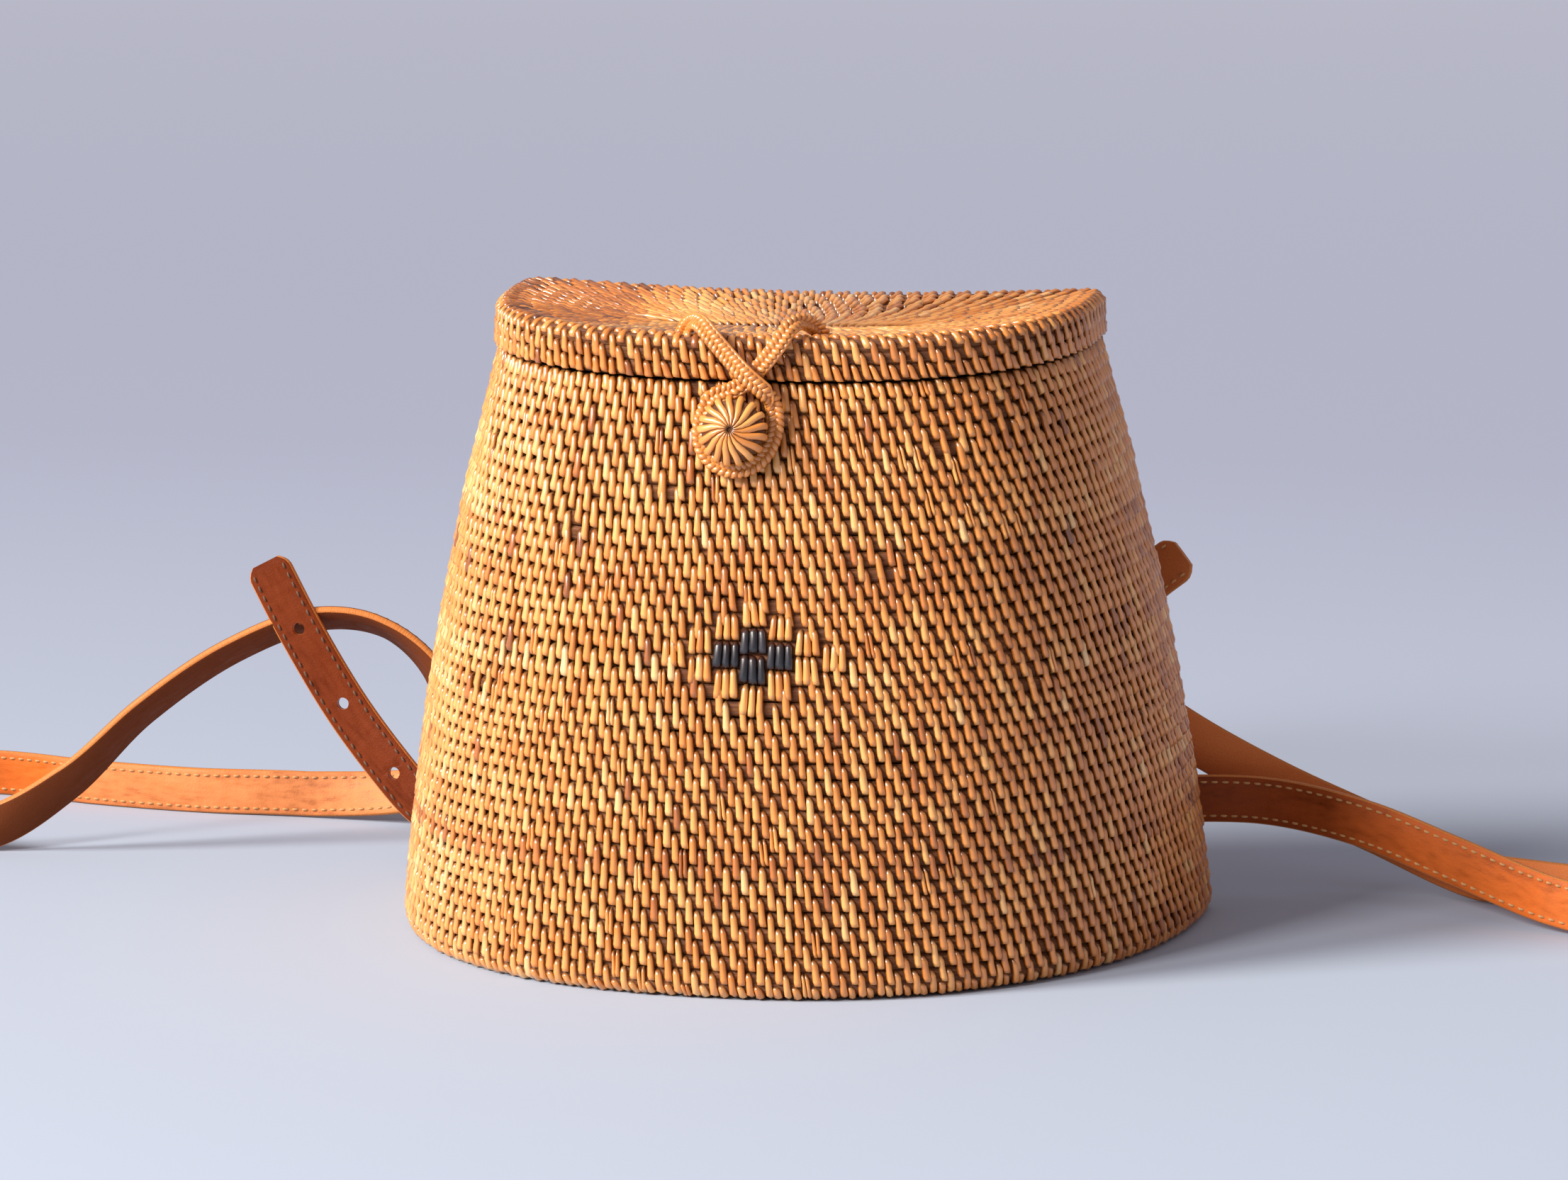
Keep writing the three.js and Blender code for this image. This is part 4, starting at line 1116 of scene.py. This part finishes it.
def buildStrap(name, thread):
    path, wide, thick, share = strapStations(name)
    grain = fittings[name]["grain"]
    section, sides = strapSection(grain)
    # how dark each station is: partly its dyed colour, partly painted shade
    dyeAndShade = np.interp(share, *zip(*strap["dyeAndShade"][name]))
    reach = reachAlong(path)
    left = reach[-1] - reach
    slim = 1 - strap["tipSlim"] * np.clip(1 - left / strap["tip"], 0, 1) ** 2.2
    wrinkle = strap["wrinkle"] * np.sin(reach * 1.9) * np.sin(reach * 0.23) ** 8
    shaped = np.repeat(section[None], len(path), 0)
    shaped[..., 0] *= slim[:, None]
    shaped[..., 1] += wrinkle[:, None] * (np.abs(section[:, 0]) < strap["wide"] / 2 - 1)
    verts, faces = sweep(path, wide, thick, shaped)
    if grain < 0:
        faces = [face[::-1] for face in faces]
    piece = pieceFrom(f"shoulder_strap_{name}_leather", verts, faces, "body", leatherBrown,
                      {"strand": strandMarks(section[:, 0], reach[:, None], 5 + grain),
                       "side": np.tile(sides, len(path)).astype(float), "dyeAndShade": np.repeat(dyeAndShade, len(section))})
    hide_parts(f"shoulder_strap_{name}")
    punchHoles(piece, path, wide, thick, reach, dyeAndShade, grain)
    edge = strap["wide"] / 2 - strap["seam"]
    off = (strap["thick"] / 2 - 0.05) * grain
    tail = reach[-1] - strap["endSeam"]
    seams = (("thread", threadPale, (4, tail)), ("end_thread", thread, (tail, reach[-1] - 3.5)))
    for part, colour, ends in seams:
        rows = []
        for across in (-edge, edge):
            # the holed end shows both of its sides
            for level in (off, -off) if part == "end_thread" else (off,):
                rows += threadRow(path, wide, thick, across, level, reach, ends, strap["stitch"])
        threadPiece(f"strap_{name}_{part}", rows, colour)


def punchHoles(piece, path, wide, thick, reach, dyeAndShade, grain):
    parts, spots = [], []
    for i in range(strap["holes"]):
        at = reach[-1] - strap["firstHole"] - i * strap["holePitch"]
        spot = pointsAt(path, reach, at)
        ray, side = unit(pointsAt(thick, reach, at)), unit(pointsAt(wide, reach, at))
        spots.append((at, spot, ray, side))
        line = np.array([spot - ray * 3, spot + ray * 3])
        parts.append(sweep(line, np.tile(side, (2, 1)), np.tile(np.cross(ray, side), (2, 1)),
                           roundSection(strap["hole"], strap["hole"], 20)))
    punch = placed("punch", meshFrom("punch", *joined(parts)))
    cut = piece.modifiers.new("holes", "BOOLEAN")
    cut.operation, cut.solver, cut.object = "DIFFERENCE", "EXACT", punch
    bpy.context.view_layer.update()
    ready = bpy.data.meshes.new_from_object(piece.evaluated_get(bpy.context.evaluated_depsgraph_get()))
    piece.modifiers.clear()
    piece.data = ready
    bpy.data.objects.remove(punch)
    # the holes' new corners take the leather's own marks
    count = len(ready.vertices)
    place, strand, side, dyeAndShadeValues = np.empty(count * 3), np.empty(count * 3), np.empty(count), np.empty(count)
    ready.vertices.foreach_get("co", place)
    kept = (("strand", "vector", strand), ("side", "value", side), ("dyeAndShade", "value", dyeAndShadeValues))
    for mark, kind, values in kept:
        ready.attributes[mark].data.foreach_get(kind, values)
    place, rows = place.reshape(-1, 3) / mm, strand.reshape(-1, 3)
    for at, spot, ray, across in spots:
        gap = place - spot
        off = gap @ ray
        near = (np.linalg.norm(gap - off[:, None] * ray, axis=1) < strap["hole"] + 0.2) & (np.abs(off) < 2.5)
        side[near] = np.sign(off[near]) * grain
        dyeAndShadeValues[near] = np.interp(at, reach, dyeAndShade)
        rows[near] = strandMarks(gap[near] @ across, at + gap[near] @ np.cross(across, ray), 5 + grain)
    for mark, kind, values in kept:
        ready.attributes[mark].data.foreach_set(kind, values)
    ready.set_sharp_from_angle(angle=math.radians(60))


buildStrap("left", threadDark)
buildStrap("right", threadPale)
print("straps ready")


# patches, tabs, rings and buckles on the back

# rounded rectangle as (u, v) points
def platePath(wide, high, radius, corner=6):
    points = []
    for cx, cy, start in ((1, 1, 0), (-1, 1, 90), (-1, -1, 180), (1, -1, 270)):
        for a in np.linspace(start, start + 90, corner):
            t = math.radians(a)
            points.append((cx * (wide / 2 - radius) + radius * math.cos(t),
                           cy * (high / 2 - radius) + radius * math.sin(t)))
    return np.array(points)


# faces that were made for one side are turned over on the other
def mirrored(f):
    return np.dot(np.cross(f["u"], f["v"]), wallOut) < 0


# leather plate with rolled edges and a sewn border
def buildPlate(name, node, f, size, thick, low):
    wide, high, radius = size
    layers = [(0.5, 0), (0, 0.5), (0, thick - 0.7), (0.3, thick - 0.2), (1.0, thick), (1.9, thick - 0.16),
              (2.8, thick + 0.05), (4.5, thick + 0.1)]
    verts, strand, side = [], [], []
    for inset, w in layers:
        ring = platePath(wide - 2 * inset, high - 2 * inset, max(radius - inset, 0.4))
        for u, v in ring:
            verts.append(onWall(f, u, v, low + w))
            strand.append((u, v, 8.0))
            side.append(0.0 if w < thick - 0.3 else 1.0)
    n = len(ring)
    faces = [tuple(range(n))[::-1], tuple(range((len(layers) - 1) * n, len(layers) * n))]
    faces += bands(len(layers), n)
    if mirrored(f):
        faces = [face[::-1] for face in faces]
    piece = pieceFrom(name, verts, faces, "body", leatherBrown,
                      {"strand": strand, "side": side, "dyeAndShade": np.full(len(verts), patch["dyeAndShade"])})
    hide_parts(node)
    seam = patch["seam"]
    border = platePath(wide - 2 * seam, high - 2 * seam, max(radius - seam, 0.6))
    loop = np.array([onWall(f, u, v, low + thick) for u, v in np.vstack([border, border[:1]])])
    reach = reachAlong(loop)
    out = np.tile(wallOut, (len(loop), 1))
    side = unit(np.cross(out, np.gradient(loop, axis=0)))
    rows = threadRow(loop, side, out, 0.0, 0.02, reach, (1, reach[-1] - 1), patch["stitch"])
    threadPiece(name + "_thread", rows, threadPale)


# the tab's end turned round the wire ring
def buildSleeve(name, low):
    half, edge = strap["wide"] / 2, tab["edge"]
    inner = ringWire["wire"] + ringWire["gap"]
    outer = inner + tab["thick"]
    rows = ((-half, inner), (-half, outer - edge), (-half + edge, outer), (half - edge, outer),
            (half, outer - edge), (half, inner))
    count = 28
    turn = np.linspace(0, 2 * math.pi, count, endpoint=False)
    verts = [onWall(low, r * math.cos(a), v, ringOff + r * math.sin(a)) for v, r in rows for a in turn]
    faces = bands(len(rows), count, True)
    if not mirrored(low):
        faces = [face[::-1] for face in faces]
    pieceFrom(f"lower_tab_{name}_sleeve", verts, faces, "body", leatherBrown,
              {"strand": strandMarks(np.arange(count) * 0.8, np.arange(len(rows))[:, None] * 4, 9),
               "side": np.ones(len(verts)), "dyeAndShade": np.full(len(verts), patch["dyeAndShade"])})


def buildRing(name, low):
    wire, span = ringWire["wire"], ringWire["span"]
    reach = strap["wide"] / 2 + ringWire["gap"] + wire + ringWire["play"]
    route = platePath(span, 2 * reach, ringWire["corner"], 7) + [span / 2, 0]
    path = np.array([onWall(low, u, v, ringOff) for u, v in route])
    ahead = unit(np.roll(path, -1, 0) - np.roll(path, 1, 0))
    out = np.tile(wallOut, (len(path), 1))
    verts, faces = sweep(path, unit(np.cross(out, ahead)), out, roundSection(wire, wire, 14), True)
    ring = pieceFrom(f"strap_ring_{name}_wire", verts, faces, "body", brassAged)
    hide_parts(f"strap_ring_{name}")


def buildKeeper(name, low):
    wide = strap["wide"] + 2 * (buckle["gap"] + buckle["bar"])
    gap = 2 * (layerOff + strap["thick"] / 2 + buckle["gap"])
    outside = platePath(wide, gap + 2 * buckle["bar"], buckle["corner"])
    inside = platePath(wide - 2 * buckle["bar"], gap, buckle["innerCorner"])
    loops = []
    turns = [(outside, 0.5, -0.5), (outside, 0, -0.42), (outside, 0, 0.42), (outside, 0.5, 0.5),
             (inside, -0.3, 0.5), (inside, 0, 0.44), (inside, 0, -0.44), (inside, -0.3, -0.5)]
    for ring, shrink, u in turns:
        size = np.abs(ring).max(0)
        loops.append([onWall(low, buckle["reach"] + u * buckle["long"], v, ringOff + w)
                      for v, w in ring * (1 - shrink / size)])
    faces = bands(len(loops), len(outside), True)
    if mirrored(low):
        faces = [face[::-1] for face in faces]
    piece = pieceFrom(f"buckle_{name}_keeper", np.vstack(loops), faces, "body", brassAged)
    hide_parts(f"buckle_{name}")


def buildFittings(name):
    f, low = fittings[name], lowerFrame(name)
    top = wallFrame(f["side"] * patch["spread"] / 2, basketShape["height"] - patch["drop"], 1, 0)
    buildPlate(f"strap_patch_{name}_leather", f"strap_patch_{name}", top,
               (patch["wide"], patch["high"], patch["round"]), patch["thick"], patch["gap"])
    middle = onWall(low, -tab["long"] / 2, 0, 0)
    buildPlate(f"lower_tab_{name}_leather", f"lower_tab_{name}", dict(low, middle=middle),
               (tab["long"], strap["wide"], tab["round"]), tab["thick"], patch["gap"])
    buildSleeve(name, low)
    buildRing(name, low)
    buildKeeper(name, low)


for name in ("left", "right"):
    buildFittings(name)
print("fittings ready")


# camera, floor and light

camera = {"place": (298.09, -1672.65, 403.24), "turn": 10.066, "down": 9.837, "lens": 131.6}
studio = {
    # paper colour by distance behind the bag, in metres: painted light and shade on paper of one colour,
    # darkest about a metre behind the bag
    "floor": [(0.0, (0.423, 0.478, 0.58)), (1.0, (0.372, 0.402, 0.52)), (4.5, (0.44, 0.465, 0.575))],
    "floorSide": 14000, "world": (0.79, 0.73, 0.77), "worldPower": 0.46,
    "key": {"kind": "SUN", "from": (-1000, -600, 810), "spread": 16, "power": 4.2,
            "colour": (1, 0.965, 0.91)},
    "side": {"kind": "AREA", "from": (-900, -1300, 950), "spread": 0.35, "power": 22,
             "colour": (1, 0.98, 0.95)},
}


def buildCamera():
    data = bpy.data.cameras.new("photo_camera")
    data.lens = camera["lens"]
    data.sensor_width = 36
    view = placed("photo_camera", data)
    view.location = Vector(camera["place"]) * mm
    view.rotation_euler = (math.radians(90 - camera["down"]), 0, math.radians(camera["turn"]))
    data.clip_end = 60
    bpy.context.scene.camera = view


def buildFloor():
    side = studio["floorSide"]
    corners = [(-side, -side, 0), (side, -side, 0), (side, side, 0), (-side, side, 0)]
    mesh = meshFrom("floor", corners, [(0, 1, 2, 3)])
    floor = placed("floor", mesh)
    look, shader = newLook("paper_floor")
    far = studio["floor"][-1][0]
    place = add(look, "ShaderNodeTexCoord").outputs["Object"]
    away = add(look, "ShaderNodeSeparateXYZ", {0: place}).outputs[1]
    away = sums(look, "DIVIDE", away, far, True)
    # painted light and shade: the floor's colour changes with distance from the bag
    paper = ramp(look, away, [(at / far, colour) for at, colour in studio["floor"]])
    feed(shader, {"Base Color": paper, "Roughness": 0.9})
    mesh.materials.append(look)


def buildLights():
    for name in ("key", "side"):
        setting = studio[name]
        light = bpy.data.lights.new(name, setting["kind"])
        light.energy, light.color = setting["power"], setting["colour"]
        if setting["kind"] == "SUN":
            light.angle = math.radians(setting["spread"])
        else:
            light.size = setting["spread"]
        lamp = placed(name, light)
        lamp.location = Vector(setting["from"]) * mm
        aim = Vector((0, 0, 0.08)) - lamp.location
        lamp.rotation_euler = aim.to_track_quat("-Z", "Y").to_euler()
    world = bpy.data.worlds.new("studio")
    world.use_nodes = True
    feed(world.node_tree.nodes["Background"], {"Color": (*studio["world"], 1),
                                               "Strength": studio["worldPower"]})
    bpy.context.scene.world = world
    bpy.context.scene.view_settings.view_transform = "Standard"  # keeps the straw as bright as in the photo


buildCamera()
buildFloor()
buildLights()
print("camera and light ready")
